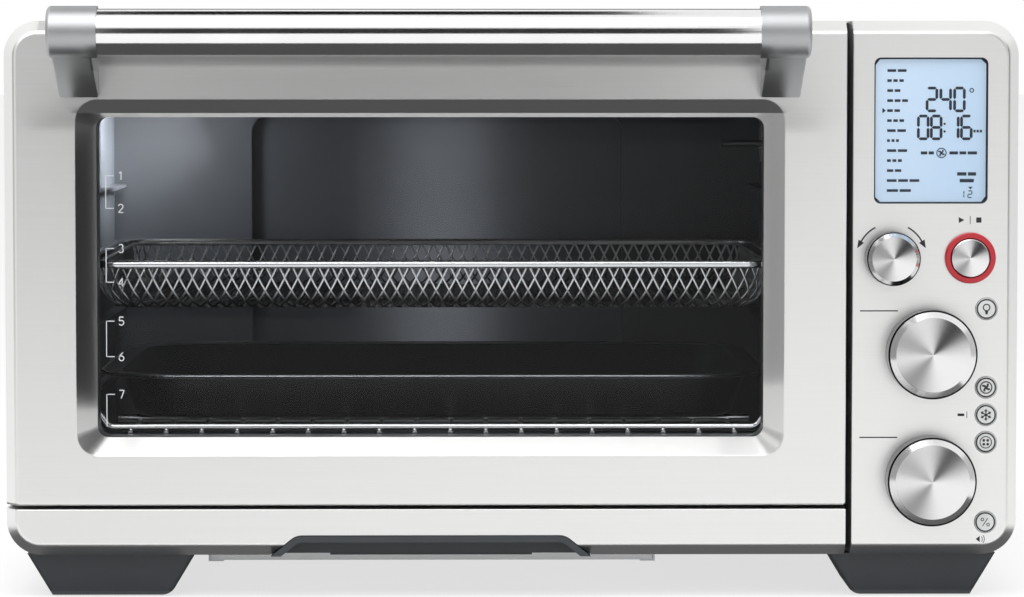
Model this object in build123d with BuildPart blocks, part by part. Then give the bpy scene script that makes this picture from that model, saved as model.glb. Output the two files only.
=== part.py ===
"""Countertop toaster oven: a steel casing, a drop-down glass door, a control column and the cookware inside.

The frame has +Z up and the front facing -Y. The origin is on the table, under the centre of the oven's box.
All sizes are millimetres.
"""

import math
import os

from build123d import *

# Overall box, with the handle in front and the wall spacers behind
WIDTH = 546.0
DEPTH = 440.0
BODY_TOP = 311.5
BODY_BOTTOM = 23.2

# Casing front: one rounded outline that two gaps cut into door, base trim and control fascia
SHEET = 1.0
CORNER_R = 19.0
EDGE_IN = 6.0
EDGE_DEEP = 9.0
EDGE_SOFT = 3.0
FRONT_T = 28.0
FASCIA_W = 90.0
GAP_UPRIGHT = 3.1
GAP_LEVEL = 1.8
TRIM_H = 25.6
CUT_EDGE = 0.6
SEAT_GAP = 1.2
SILL_ABOVE_HINGE = 10.0
BAY_MARGIN = 9.0

# Door window
WINDOW_LEFT = 38.9
WINDOW_RIGHT = 33.5
WINDOW_TOP = 42.2
WINDOW_BOTTOM = 27.0
WINDOW_R = 12.0
BEVEL_SIDE = 10.5
BEVEL_END = 9.5
BEVEL_DEEP = 9.0
GLASS_R = 6.0
GLASS_T = 4.0
GLASS_LAP = 7.0
WINDOW_SOFT = 0.8
LINER_INSET = 2.0
SWING_SOFT = 2.0

# Door handle
HANDLE_REACH = 44.0
HANDLE_BELOW_TOP = 6.5
BAR_R = 12.2
BAR_WALL = 1.5
SLEEVE_R = 13.7
SLEEVE_W = 26.4
SLEEVE_CAP = 4.0
HANDLE_SIDE = 28.9
SLEEVE_DOME = 2.4
ARM_SETBACK = 2.0
ARM_W = 21.0
ARM_SOFT = 1.2
ARM_STEP = 0.8
FOOT_BELOW_TOP = 10.0
BRACKET_FOOT_H = 31.0
BRACKET_FOOT_T = 4.0
HANDLE_SCREW_PITCH = 16.0

# Door hinges
HINGE_INSET = 5.0
HINGE_FROM_EDGE = 42.0
PIN_R = 2.0
PIN_FIT = 0.05
ARM_T = 4.0
ARM_R = 3.3
HINGE_PLAY = 0.6
EAR_T = 5.0
LEAF_UP = 14.0
LEAF_BACK = 4.0
PLATE_W = 24.0
PLATE_H = 18.0
PLATE_T = 1.5
SPRING_WIRE = 0.9
SPRING_FIT = 0.2
SPRING_L = 9.0

# Oven cavity
CAVITY_SIDE_LEFT = 9.0
CAVITY_SIDE_RIGHT = 10.6
ROOF_DROP = 26.0
BACK_SPACE = 24.0
BULGE_W = 230.0
BULGE_DEEP = 12.0
BULGE_TOP = 28.0
BULGE_LOW = 40.0
BULGE_R = 12.0
RAIL_COUNT = 4
FIRST_RAIL = 76.5
TOP_ROOM = 70.8
RAIL_OUT = 8.0
RAIL_H = 5.0
RAIL_SLOPE = 3.0
RAIL_END_GAP = 8.0

# Wire rack, pan and basket
RUNNER_PLAY = 3.0
WIRE_R = 2.2
WIRE_BEND = 5.0
WELD = 0.5
REST_GAP = 0.3
RACK_ROD_R = 1.4
RACK_ROD_PITCH = 19.4
RACK_ROD_OUT = 3.0
RACK_BARS = 2
RACK_BAR_PITCH = 170.0
RACK_DROP = 13.0
RACK_STEP_IN = 8.0
RACK_RISE = 10.0
RACK_FRONT_GAP = 5.0
RACK_DEPTH = 288.0
RACK_RAIL = 0
PAN_W = 352.0
PAN_DEPTH = 258.0
PAN_H = 25.0
PAN_T = 1.2
PAN_FLANGE = 11.0
PAN_R = 34.0
PAN_TAPER = 10.0
PAN_SOFT = 6.0
BASKET_RAIL = 2
BASKET_DEPTH = 288.0
BASKET_CORNER = 22.0
BASKET_DROP = 26.0
BASKET_INSET = 12.0
BASKET_T = 1.0
BASKET_SOFT = 18.0
MESH_COLUMNS = 20
MESH_ROWS = 14
MESH_MARGIN = 4.0
MESH_STRAND = 2.4

# Heating elements
ELEMENT_R = 4.5
ELEMENT_WALL = 1.0
ELEMENT_DROP = 14.0
ELEMENT_RISE = 24.0
UPPER_ELEMENTS = 4
LOWER_ELEMENTS = 2
ELEMENT_PITCH = 66.0
CAP_R = 7.5
CAP_L = 10.0
CAP_SUNK = 7.0
CAP_FIT = 0.1

# Convection fan, lamp and sensor on the right cavity wall
FAN_R = 50.0
FAN_W = 14.0
FAN_BLADES = 10
BLADE_T = 1.2
FAN_HUB_R = 9.0
FAN_GAP = 3.0
FAN_SHAFT_R = 3.0
HOUSING_DEEP = 22.0
HOUSING_PLAY = 6.0
MOTOR_R = 21.0
MOTOR_L = 26.0
MOTOR_CAP = 3.0
FAN_HOLE_R = 3.0
FAN_HOLE_PITCH = 10.0
LAMP_R = 13.0
LAMP_LAP = 2.0
LAMP_LENS_T = 3.0
LAMP_FROM_BACK = 48.0
LAMP_DROP = 44.0
LAMP_DEEP = 32.0
BULB_R = 7.0
BULB_L = 20.0
SENSOR_R = 2.0
SENSOR_L = 30.0
SENSOR_TAIL = 10.0
SENSOR_FLANGE_R = 6.0
SENSOR_FROM_BACK = 110.0

# Control fascia: sizes of the controls, and their offsets from the column's centre line
DISPLAY_W = 61.2
DISPLAY_SHARE = 0.272
DISPLAY_R = 3.6
DISPLAY_LIP = 2.2
LENS_T = 2.0
LCD_MARGIN = 1.5
DIAL_R = 23.9
DIAL_H = 17.0
DIAL_EDGE = 4.0
DIAL_EDGE_DEEP = 3.0
DIAL_WALL = 2.0
DIAL_LIFT = 0.8
SELECT_R = 14.4
SELECT_H = 14.0
SELECT_EDGE = 2.6
SHAFT_R = 3.0
SHAFT_PLAY = 0.5
BOSS_R = 6.0
PUSH_TRAVEL = 1.2
START_R = 10.4
START_OUT = 0.4
RING_W = 2.9
RING_T = 2.6
RING_SPIGOT = 1.4
RING_DEEP = 4.0
BUTTON_R = 5.7
BUTTON_OUT = 0.8
BUTTON_FLANGE = 1.4
BUTTON_FLANGE_T = 1.2
BUTTON_SOFT = 0.4
BUTTON_TRAVEL = 0.8
CAP_PLAY = 0.4
STEM_R = 2.0
STOP_GAP = 0.2
COLUMN_SHIFT = 3.0
SELECT_LEFT = 21.0
START_RIGHT = 21.3
BUTTONS_RIGHT = 30.3
SPACES_DOWN = (19.7, 14.8, 12.9, 20.5, 17.6)
LAMP_BELOW_START = 27.4
BUTTON_PITCH = 14.8
CLUSTER_ABOVE_TIME = 20.1
UNIT_ABOVE_BASE = 18.4
BOARD_T = 1.6
BOARD_BEHIND = 17.0
BOARD_MARGIN = 6.0
CARRIER_T = 2.0
CARRIER_PLAY = 0.5
POST_R = 2.5
POST_SPAN = 36.0
ENCODER_W = 13.0
ENCODER_T = 7.0
SHAFT_SUNK = 6.0
SWITCH_W = 6.0
SWITCH_T = 3.5

# Power board in the bay behind the fascia
POWER_DEEP = 110.0
POWER_H = 92.0
POWER_SIDE = 24.0
POWER_BACK = 60.0
POWER_PARTS = ((24.0, 30.0, 26.0), (16.0, 20.0, 16.0), (16.0, 20.0, 16.0))

# Base, tray and feet
TRAY_W = 244.0
TRAY_DEPTH = 262.0
TRAY_T = 0.8
TRAY_LEDGE = 6.0
TRAY_H = 8.0
TRAY_BEHIND = 56.0
TRAY_PLAY = 0.5
RUNNER_T = 1.2
RUNNER_LIP = 7.0
PULL_W = 172.5
PULL_TOP_W = 145.0
PULL_H = 11.0
PULL_R = 9.0
PULL_RIM = 3.4
PULL_DEEP = 20.0
PULL_WALL = 3.0
TONGUE_W = 110.0
TONGUE_T = 1.5
FOOT_TOP_W = 91.2
FOOT_LOW_W = 64.0
FOOT_D = 54.0
FOOT_EDGE = 2.0
FOOT_OUT = 10.2
FOOT_FRONT = 14.0
FOOT_SOFT = 8.0
PAD_R = 12.0
PAD_T = 2.0
PAD_OUT = 0.6

# Back of the casing
SPACER_OUT = 12.0
SPACER_W = 60.0
SPACER_H = 16.0
SPACER_SPAN = 330.0
SPACER_DROP = 34.0
SPACER_SOFT = 5.0
VENT_W = 3.6
VENT_L = 44.0
VENT_PITCH = 9.0
SIDE_VENTS = 11
SIDE_VENT_ROWS = 2
SIDE_VENT_BACK = 78.0
SIDE_VENT_DROP = 96.0
REAR_VENTS = 31
REAR_VENT_DROP = 92.0
SCREW_R = 1.8
SCREW_HEAD_R = 3.6
SCREW_HEAD_H = 2.2
SCREW_HEAD_SOFT = 1.0
SCREW_L = 8.0
SCREW_EDGE = 13.0
GLAND_R = 8.0
GLAND_BORE_R = 4.0
GLAND_FLANGE_R = 11.0
GLAND_FLANGE_T = 2.0
GLAND_OUT = 5.0
GLAND_IN = 9.0
GLAND_SIDE = 62.0
GLAND_UP = 42.0

# Places worked out from the sizes above
FRONT_Y = -DEPTH / 2 + HANDLE_REACH + SLEEVE_R
BACK_Y = DEPTH / 2 - SPACER_OUT
SEAM_Y = FRONT_Y + FRONT_T
FRAME_Y = SEAM_Y + SEAT_GAP
BODY_H = BODY_TOP - BODY_BOTTOM
DISPLAY_H = DISPLAY_SHARE * BODY_H
MID_Z = (BODY_TOP + BODY_BOTTOM) / 2
DOOR_LEFT = -WIDTH / 2
DOOR_RIGHT = WIDTH / 2 - FASCIA_W - GAP_UPRIGHT
DOOR_LOW = BODY_BOTTOM + TRIM_H + GAP_LEVEL
FASCIA_LEFT = WIDTH / 2 - FASCIA_W
WINDOW_W = DOOR_RIGHT - DOOR_LEFT - WINDOW_LEFT - WINDOW_RIGHT
WINDOW_H = BODY_TOP - DOOR_LOW - WINDOW_TOP - WINDOW_BOTTOM
WINDOW_X = DOOR_LEFT + WINDOW_LEFT + WINDOW_W / 2
WINDOW_Z = DOOR_LOW + WINDOW_BOTTOM + WINDOW_H / 2
GLASS_W = WINDOW_W - 2 * BEVEL_SIDE
GLASS_H = WINDOW_H - 2 * BEVEL_END
CAVITY_LEFT = WINDOW_X - WINDOW_W / 2 - CAVITY_SIDE_LEFT
CAVITY_RIGHT = WINDOW_X + WINDOW_W / 2 + CAVITY_SIDE_RIGHT
CAVITY_X = (CAVITY_LEFT + CAVITY_RIGHT) / 2
CAVITY_W = CAVITY_RIGHT - CAVITY_LEFT
ROOF_Z = BODY_TOP - ROOF_DROP
FLOOR_Z = BODY_BOTTOM + SHEET
CAVITY_BACK = BACK_Y - BACK_SPACE
CAVITY_FRONT = FRAME_Y + SHEET
HINGE_Y = FRONT_Y + HINGE_INSET
HINGE_Z = DOOR_LOW + HINGE_INSET
HINGE_XS = (DOOR_LEFT + HINGE_FROM_EDGE, DOOR_RIGHT - HINGE_FROM_EDGE)
SILL_Z = HINGE_Z + SILL_ABOVE_HINGE
GLAND_X = WIDTH / 2 - GLAND_SIDE
GLAND_Z = BODY_BOTTOM + GLAND_UP
REAR_SCREW_SPOTS = [
    (side * (WIDTH / 2 - SCREW_EDGE - lean), height)
    for side in (-1, 1)
    for lean, height in (
        (CORNER_R, BODY_TOP - SCREW_EDGE),
        (0, MID_Z),
        (CORNER_R, BODY_BOTTOM + SCREW_EDGE),
    )
]
TRAY_Y = FRONT_Y + TRAY_BEHIND + TRAY_DEPTH / 2
TRAY_TOP = BODY_BOTTOM - TRAY_PLAY
TRAY_LOW = TRAY_TOP - TRAY_H
FOOT_X = WIDTH / 2 - FOOT_OUT - FOOT_TOP_W / 2
FOOT_YS = (FRONT_Y + FOOT_FRONT + FOOT_D / 2, BACK_Y - FOOT_FRONT - FOOT_D / 2)
FOOT_SPOTS = [(side * FOOT_X, foot_y) for side in (-1, 1) for foot_y in FOOT_YS]
BAR_Y = FRONT_Y - HANDLE_REACH
BAR_Z = BODY_TOP - HANDLE_BELOW_TOP
EAR_REACH = ARM_T / 2 + HINGE_PLAY + EAR_T
FUNNEL_Y = FRONT_Y + BEVEL_DEEP
GLASS_BACK = FUNNEL_Y + GLASS_T
HANDLE_LEFT = DOOR_LEFT + HANDLE_SIDE
HANDLE_RIGHT = 2 * WINDOW_X - HANDLE_LEFT
FOOT_Z = BODY_TOP - FOOT_BELOW_TOP - BRACKET_FOOT_H / 2
HANDLE_SCREW_SPOTS = [
    (WINDOW_X + side * (WINDOW_X - HANDLE_LEFT - ARM_SETBACK - ARM_W / 2), FOOT_Z + step * HANDLE_SCREW_PITCH)
    for side in (-1, 1)
    for step in (-0.5, 0.5)
]
RAIL_PITCH = (ROOF_Z - TOP_ROOM - FLOOR_Z - FIRST_RAIL) / (RAIL_COUNT - 1)
RAILS_Z = [FLOOR_Z + FIRST_RAIL + RAIL_PITCH * step for step in range(RAIL_COUNT)]
RUNNER_X = CAVITY_W / 2 - RUNNER_PLAY - WIRE_R
CAVITY_Y = (CAVITY_FRONT + CAVITY_BACK) / 2
RACK_FRONT = CAVITY_FRONT + RACK_FRONT_GAP
RACK_Z = RAILS_Z[RACK_RAIL] + REST_GAP + WIRE_R
RACK_FLOOR_Z = RACK_Z - RACK_DROP
PAN_Z = RACK_FLOOR_Z + WIRE_R + REST_GAP
BASKET_Z = RAILS_Z[BASKET_RAIL] + REST_GAP + WIRE_R
BASKET_Y = RACK_FRONT + BASKET_DEPTH / 2
UPPER_Z = ROOF_Z - ELEMENT_DROP
LOWER_Z = FLOOR_Z + ELEMENT_RISE
ELEMENT_SPOTS = [
    (CAVITY_Y + (step - (UPPER_ELEMENTS - 1) / 2) * ELEMENT_PITCH, UPPER_Z) for step in range(UPPER_ELEMENTS)
] + [
    (CAVITY_Y + (step * 2 - LOWER_ELEMENTS + 1) * ELEMENT_PITCH, LOWER_Z) for step in range(LOWER_ELEMENTS)
]
FAN_SPOT = (CAVITY_Y, RAILS_Z[BASKET_RAIL])
FAN_ROWS = int(FAN_R // FAN_HOLE_PITCH)
FAN_LEVELS = [FAN_SPOT[1] + (row - 0.5) * FAN_HOLE_PITCH for row in range(-FAN_ROWS, FAN_ROWS + 1)]
FREE_LEVELS = [
    level
    for level in FAN_LEVELS
    if all(abs(level - rail_z + RAIL_H / 2) > FAN_HOLE_R + RAIL_H / 2 for rail_z in RAILS_Z)
]
FAN_HOLES = [
    (FAN_SPOT[0] + column * FAN_HOLE_PITCH, level)
    for level in FREE_LEVELS
    for column in range(-FAN_ROWS, FAN_ROWS + 1)
    if math.hypot(column * FAN_HOLE_PITCH, level - FAN_SPOT[1]) < FAN_R
]
FAN_X = CAVITY_RIGHT + SHEET + FAN_GAP
HOUSING_X = CAVITY_RIGHT + SHEET + HOUSING_DEEP
LAMP_SPOT = (CAVITY_BACK - LAMP_FROM_BACK, ROOF_Z - LAMP_DROP)
SENSOR_SPOT = (CAVITY_BACK - SENSOR_FROM_BACK, ROOF_Z - LAMP_DROP)
COLUMN_X = FASCIA_LEFT + FASCIA_W / 2 - COLUMN_SHIFT
SPACE_SCALE = (BODY_H - DISPLAY_H - 2 * SELECT_R - 4 * DIAL_R) / sum(SPACES_DOWN)
DISPLAY_Z = BODY_TOP - SPACES_DOWN[0] * SPACE_SCALE - DISPLAY_H / 2
SELECT_Z = DISPLAY_Z - DISPLAY_H / 2 - SPACES_DOWN[1] * SPACE_SCALE - SELECT_R
TEMPERATURE_Z = SELECT_Z - SELECT_R - SPACES_DOWN[2] * SPACE_SCALE - DIAL_R
TIME_Z = TEMPERATURE_Z - DIAL_R - SPACES_DOWN[3] * SPACE_SCALE - DIAL_R
SELECT_SPOT = (COLUMN_X - SELECT_LEFT, SELECT_Z)
START_SPOT = (COLUMN_X + START_RIGHT, SELECT_Z)
TEMPERATURE_SPOT = (COLUMN_X, TEMPERATURE_Z)
TIME_SPOT = (COLUMN_X, TIME_Z)
DIAL_SPOTS = (SELECT_SPOT, TEMPERATURE_SPOT, TIME_SPOT)
SELECT_LIFT = DIAL_LIFT + PUSH_TRAVEL
UPPER_POSTS_Z = (DISPLAY_Z - DISPLAY_H / 2 - DISPLAY_LIP + SELECT_Z + SELECT_R) / 2
LOWER_POSTS_Z = (TEMPERATURE_Z + TIME_Z) / 2
POST_SPOTS = [
    (COLUMN_X + side * POST_SPAN / 2, post_z) for post_z in (UPPER_POSTS_Z, LOWER_POSTS_Z) for side in (-1, 1)
]
BUTTON_SPOTS = {
    "lamp_button": (COLUMN_X + BUTTONS_RIGHT, SELECT_Z - LAMP_BELOW_START),
    "fan_button": (COLUMN_X + BUTTONS_RIGHT, TIME_Z + CLUSTER_ABOVE_TIME + 2 * BUTTON_PITCH),
    "frozen_button": (COLUMN_X + BUTTONS_RIGHT, TIME_Z + CLUSTER_ABOVE_TIME + BUTTON_PITCH),
    "more_button": (COLUMN_X + BUTTONS_RIGHT, TIME_Z + CLUSTER_ABOVE_TIME),
    "unit_button": (COLUMN_X + BUTTONS_RIGHT, BODY_BOTTOM + UNIT_ABOVE_BASE),
}
FASCIA_BACK = FRONT_Y + SHEET
BOARD_Y = FASCIA_BACK + BOARD_BEHIND
BOARD_X = FASCIA_LEFT + FASCIA_W / 2
BOARD_W = FASCIA_W - 2 * SHEET - 2 * BOARD_MARGIN
BOARD_H = BODY_H - 2 * SHEET - 2 * BOARD_MARGIN
SWITCH_Y = BOARD_Y - SWITCH_T
SHAFT_END = BOARD_Y - ENCODER_T + SHAFT_SUNK


def front_plane(y):
    """Upright plane at depth y, facing the front: local x is X, local y is Z."""
    return Plane(origin=(0, y, 0), x_dir=(1, 0, 0), z_dir=(0, -1, 0))


def side_plane(x):
    """Upright plane at x, facing right: local x is Y, local y is Z."""
    return Plane(origin=(x, 0, 0), x_dir=(0, 1, 0), z_dir=(1, 0, 0))


def level_plane(z):
    """Level plane at height z."""
    return Plane.XY.offset(z)


def save(builder, name):
    """Labels a finished piece and writes its STEP file."""
    builder.part.label = name
    export_step(builder.part, f"parts/{name}.step")


def front_block(inset, back):
    """The casing's front as one solid, slanted in at the front edge, taken in by inset all round."""
    width, height = WIDTH - 2 * inset, BODY_H - 2 * inset
    radius = CORNER_R - inset
    slant_y = FRONT_Y + EDGE_DEEP
    with BuildPart() as block:
        with BuildSketch(front_plane(back)):
            with Locations((0, MID_Z)):
                RectangleRounded(width, height, radius)
        extrude(amount=back - slant_y)
        with BuildSketch(front_plane(slant_y)):
            with Locations((0, MID_Z)):
                RectangleRounded(width, height, radius)
        extrude(amount=EDGE_DEEP - inset, taper=math.degrees(math.atan2(EDGE_IN, EDGE_DEEP)))
        fillet(block.faces().sort_by(Axis.Y)[0].edges(), EDGE_SOFT - inset)
    return block.part


def front_share(left, right, low, high, inset, back):
    """The part of the front block between two uprights and two heights, taken in by inset all round."""
    with BuildPart() as share:
        add(front_block(inset, back))
        with Locations(((left + right) / 2, back, (low + high) / 2)):
            Box(right - left - 2 * inset, 4 * FRONT_T, high - low - 2 * inset, mode=Mode.INTERSECT)
    return share.part


def front_shell(left, right, low, high, back, gap_axis, gap_side):
    """A share of the front as a sheet, open at the back, with its front edge eased along the gap beside it."""
    with BuildPart() as shell:
        add(front_share(left, right, low, high, 0, back))
        along = Axis.Z if gap_axis == Axis.X else Axis.X
        fillet(shell.edges().filter_by(along).group_by(gap_axis)[gap_side].sort_by(Axis.Y)[0], CUT_EDGE)
        add(front_share(left, right, low, high, SHEET, back), mode=Mode.SUBTRACT)
    return shell.part


def frame_outline(inset):
    """The casing's rounded outline on the current sketch, taken in by inset."""
    with Locations((0, MID_Z)):
        RectangleRounded(WIDTH - 2 * inset, BODY_H - 2 * inset, CORNER_R - inset)


def pull_outline(grow):
    """Arch of the tray pull, grown by an amount all round; it runs on below the casing by the rim's width."""
    lean = (PULL_W - PULL_TOP_W) / 2 / PULL_H * PULL_RIM
    low, high = BODY_BOTTOM - PULL_RIM, BODY_BOTTOM + PULL_H
    wide, narrow = PULL_W / 2 + lean, PULL_TOP_W / 2
    with BuildSketch(mode=Mode.PRIVATE) as arch:
        with BuildLine():
            Polyline(
                (WINDOW_X - wide, low),
                (WINDOW_X - narrow, high),
                (WINDOW_X + narrow, high),
                (WINDOW_X + wide, low),
                close=True,
            )
        make_face()
        fillet(arch.vertices().group_by(Axis.Y)[-1], PULL_R)
        offset(amount=grow)
    add(arch.sketch)


os.makedirs("parts", exist_ok=True)

# Casing: cover, base, rear panel and front frame
with BuildPart() as outer_cover:
    with BuildSketch(front_plane(BACK_Y)):
        frame_outline(0)
        with Locations((0, MID_Z)):
            RectangleRounded(WIDTH - 2 * SHEET, BODY_H - 2 * SHEET, CORNER_R - SHEET, mode=Mode.SUBTRACT)
        with Locations((0, BODY_BOTTOM)):
            Rectangle(WIDTH - 2 * CORNER_R, 4 * SHEET, mode=Mode.SUBTRACT)
    extrude(amount=BACK_Y - FRAME_Y)
    with BuildSketch(side_plane(0)):
        with Locations((BACK_Y - SIDE_VENT_BACK, BODY_TOP - SIDE_VENT_DROP)):
            with GridLocations(VENT_PITCH, VENT_L + VENT_PITCH, SIDE_VENTS, SIDE_VENT_ROWS):
                SlotOverall(VENT_L, VENT_W, rotation=90)
    extrude(amount=WIDTH, both=True, mode=Mode.SUBTRACT)
save(outer_cover, "outer_cover")

with BuildPart() as base_pan:
    with Locations((0, (FRAME_Y + BACK_Y) / 2, BODY_BOTTOM + SHEET / 2)):
        Box(WIDTH - 2 * CORNER_R, BACK_Y - FRAME_Y, SHEET)
    with Locations((WINDOW_X, TRAY_Y, BODY_BOTTOM)):
        Box(TRAY_W - 2 * TRAY_LEDGE, TRAY_DEPTH - 2 * TRAY_LEDGE, 4 * SHEET, mode=Mode.SUBTRACT)
save(base_pan, "base_pan")

with BuildPart() as front_frame:
    with BuildSketch(front_plane(FRAME_Y + SHEET)):
        frame_outline(SHEET)
        with Locations((CAVITY_X, (SILL_Z + ROOF_Z) / 2)):
            Rectangle(CAVITY_W, ROOF_Z - SILL_Z, mode=Mode.SUBTRACT)
        with Locations((FASCIA_LEFT + FASCIA_W / 2, MID_Z)):
            Rectangle(FASCIA_W - 2 * BAY_MARGIN, BODY_H - 4 * BAY_MARGIN, mode=Mode.SUBTRACT)
        for hinge_x in HINGE_XS:
            with Locations((hinge_x, HINGE_Z)):
                Rectangle(ARM_T, 2 * ARM_R, mode=Mode.SUBTRACT)
    extrude(amount=SHEET)
save(front_frame, "front_frame")

with BuildPart() as rear_panel:
    with BuildSketch(front_plane(BACK_Y)):
        frame_outline(SHEET)
        with Locations((0, BODY_TOP - REAR_VENT_DROP)):
            with GridLocations(VENT_PITCH, VENT_L + VENT_PITCH, REAR_VENTS, 1):
                SlotOverall(VENT_L, VENT_W, rotation=90, mode=Mode.SUBTRACT)
        with Locations((GLAND_X, GLAND_Z)):
            Circle(GLAND_R + PIN_FIT, mode=Mode.SUBTRACT)
        with Locations(*REAR_SCREW_SPOTS):
            Circle(SCREW_R, mode=Mode.SUBTRACT)
    extrude(amount=SHEET)
save(rear_panel, "rear_panel")

with BuildPart() as rear_screws:
    with BuildSketch(front_plane(BACK_Y + SCREW_HEAD_H)):
        with Locations(*REAR_SCREW_SPOTS):
            Circle(SCREW_HEAD_R)
    extrude(amount=SCREW_HEAD_H)
    fillet(rear_screws.faces().group_by(Axis.Y)[-1].edges(), SCREW_HEAD_SOFT)
    with BuildSketch(front_plane(BACK_Y)):
        with Locations(*REAR_SCREW_SPOTS):
            Circle(SCREW_R)
    extrude(amount=SCREW_L)
save(rear_screws, "rear_screws")

with BuildPart() as rear_spacers:
    with BuildSketch(front_plane(BACK_Y + SPACER_OUT)):
        with Locations((0, BODY_TOP - SPACER_DROP)):
            with GridLocations(SPACER_SPAN, 0, 2, 1):
                RectangleRounded(SPACER_W, SPACER_H, SPACER_SOFT)
    extrude(amount=SPACER_OUT)
    fillet(rear_spacers.faces().group_by(Axis.Y)[-1].edges(), SPACER_SOFT / 2)
save(rear_spacers, "rear_spacers")

# Strain-relief bush where the mains lead would come out
with BuildPart() as cord_gland:
    with BuildSketch(side_plane(GLAND_X)):
        with BuildLine():
            Polyline(
                (BACK_Y - SHEET - GLAND_IN, GLAND_Z + GLAND_BORE_R),
                (BACK_Y - SHEET - GLAND_IN, GLAND_Z + GLAND_R - SHEET),
                (BACK_Y - SHEET, GLAND_Z + GLAND_R),
                (BACK_Y, GLAND_Z + GLAND_R),
                (BACK_Y, GLAND_Z + GLAND_FLANGE_R),
                (BACK_Y + GLAND_FLANGE_T, GLAND_Z + GLAND_FLANGE_R),
                (BACK_Y + GLAND_OUT, GLAND_Z + GLAND_R),
                (BACK_Y + GLAND_OUT, GLAND_Z + GLAND_BORE_R),
                close=True,
            )
        make_face()
    revolve(axis=Axis((GLAND_X, 0, GLAND_Z), (0, 1, 0)))
save(cord_gland, "cord_gland")

# Strip under the door, with the arch for the tray pull
with BuildPart() as base_trim:
    add(front_shell(DOOR_LEFT, DOOR_RIGHT, BODY_BOTTOM, BODY_BOTTOM + TRIM_H, FRAME_Y, Axis.Z, -1))
    with BuildSketch(front_plane(FRAME_Y)):
        pull_outline(TRAY_PLAY)
    extrude(amount=2 * FRONT_T, mode=Mode.SUBTRACT)
save(base_trim, "base_trim")

# Door: skin with a slanted window recess, glass, liner
def window_outline(grow):
    """The recess's rounded opening on the current sketch at the door's face."""
    with Locations((WINDOW_X, WINDOW_Z)):
        RectangleRounded(WINDOW_W + 2 * grow, WINDOW_H + 2 * grow, WINDOW_R + grow)


def glass_outline(grow):
    """The clear opening on the current sketch, grown by an amount all round."""
    with Locations((WINDOW_X, WINDOW_Z)):
        RectangleRounded(GLASS_W + 2 * grow, GLASS_H + 2 * grow, GLASS_R + grow)


def cut_hinge_notches():
    """Clears the way of both hinge arms from the piece being built, down through its lower edge."""
    front, high = HINGE_Y - ARM_R - HINGE_PLAY, HINGE_Z + ARM_R + HINGE_PLAY
    for hinge_x in HINGE_XS:
        with Locations((hinge_x, front, high)):
            Box(
                ARM_T + 2 * HINGE_PLAY,
                2 * FRONT_T,
                4 * HINGE_INSET,
                align=(Align.CENTER, Align.MIN, Align.MAX),
                mode=Mode.SUBTRACT,
            )


with BuildPart() as door_skin:
    add(front_share(DOOR_LEFT, DOOR_RIGHT, DOOR_LOW, BODY_TOP, 0, SEAM_Y))
    gap_edge = door_skin.edges().filter_by(Axis.Z).group_by(Axis.X)[-1].sort_by(Axis.Y)[0]
    fillet(gap_edge, CUT_EDGE)
    swing_edge = door_skin.edges().filter_by(Axis.X).group_by(Axis.Z)[0].sort_by(Axis.Y)[0]
    fillet(swing_edge, SWING_SOFT)
    add(front_share(DOOR_LEFT, DOOR_RIGHT, DOOR_LOW, BODY_TOP, SHEET, SEAM_Y), mode=Mode.SUBTRACT)
    with BuildSketch(front_plane(FRONT_Y)):
        window_outline(SHEET)
    with BuildSketch(front_plane(FUNNEL_Y)):
        glass_outline(SHEET)
    loft(ruled=True)
    with BuildSketch(front_plane(FUNNEL_Y)):
        glass_outline(GLASS_LAP)
    extrude(amount=SHEET)
    with BuildSketch(front_plane(FRONT_Y)):
        window_outline(0)
    with BuildSketch(front_plane(FUNNEL_Y)):
        glass_outline(0)
    loft(ruled=True, mode=Mode.SUBTRACT)
    face = door_skin.faces().filter_by(Axis.Y).sort_by(Axis.Y)[0]
    fillet(face.inner_wires()[0].edges(), WINDOW_SOFT)
    with BuildSketch(front_plane(FRONT_Y + FRONT_T / 2)):
        with Locations(*HANDLE_SCREW_SPOTS):
            Circle(SCREW_R)
    extrude(amount=FRONT_T, mode=Mode.SUBTRACT)
    cut_hinge_notches()
save(door_skin, "door_skin")

with BuildPart() as door_glass:
    with BuildSketch(front_plane(GLASS_BACK)):
        glass_outline(GLASS_LAP)
    extrude(amount=GLASS_T)
save(door_glass, "door_glass")

with BuildPart() as door_liner:
    add(front_share(DOOR_LEFT, DOOR_RIGHT, DOOR_LOW, BODY_TOP, LINER_INSET, SEAM_Y))
    with Locations((0, SEAM_Y - SHEET / 2, MID_Z)):
        Box(2 * WIDTH, SHEET, 2 * BODY_H, mode=Mode.INTERSECT)
    with BuildSketch(front_plane(SEAM_Y)):
        glass_outline(SHEET)
    extrude(amount=SEAM_Y - GLASS_BACK)
    with BuildSketch(front_plane(SEAM_Y)):
        glass_outline(0)
    extrude(amount=FRONT_T, mode=Mode.SUBTRACT)
    cut_hinge_notches()
save(door_liner, "door_liner")

# Door handle: a tube in two cast brackets
with BuildPart() as handle_bar:
    with BuildSketch(side_plane(HANDLE_LEFT + SLEEVE_CAP)):
        with Locations((BAR_Y, BAR_Z)):
            Circle(BAR_R)
            Circle(BAR_R - BAR_WALL, mode=Mode.SUBTRACT)
    extrude(amount=HANDLE_RIGHT - HANDLE_LEFT - 2 * SLEEVE_CAP)
save(handle_bar, "handle_bar")

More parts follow.
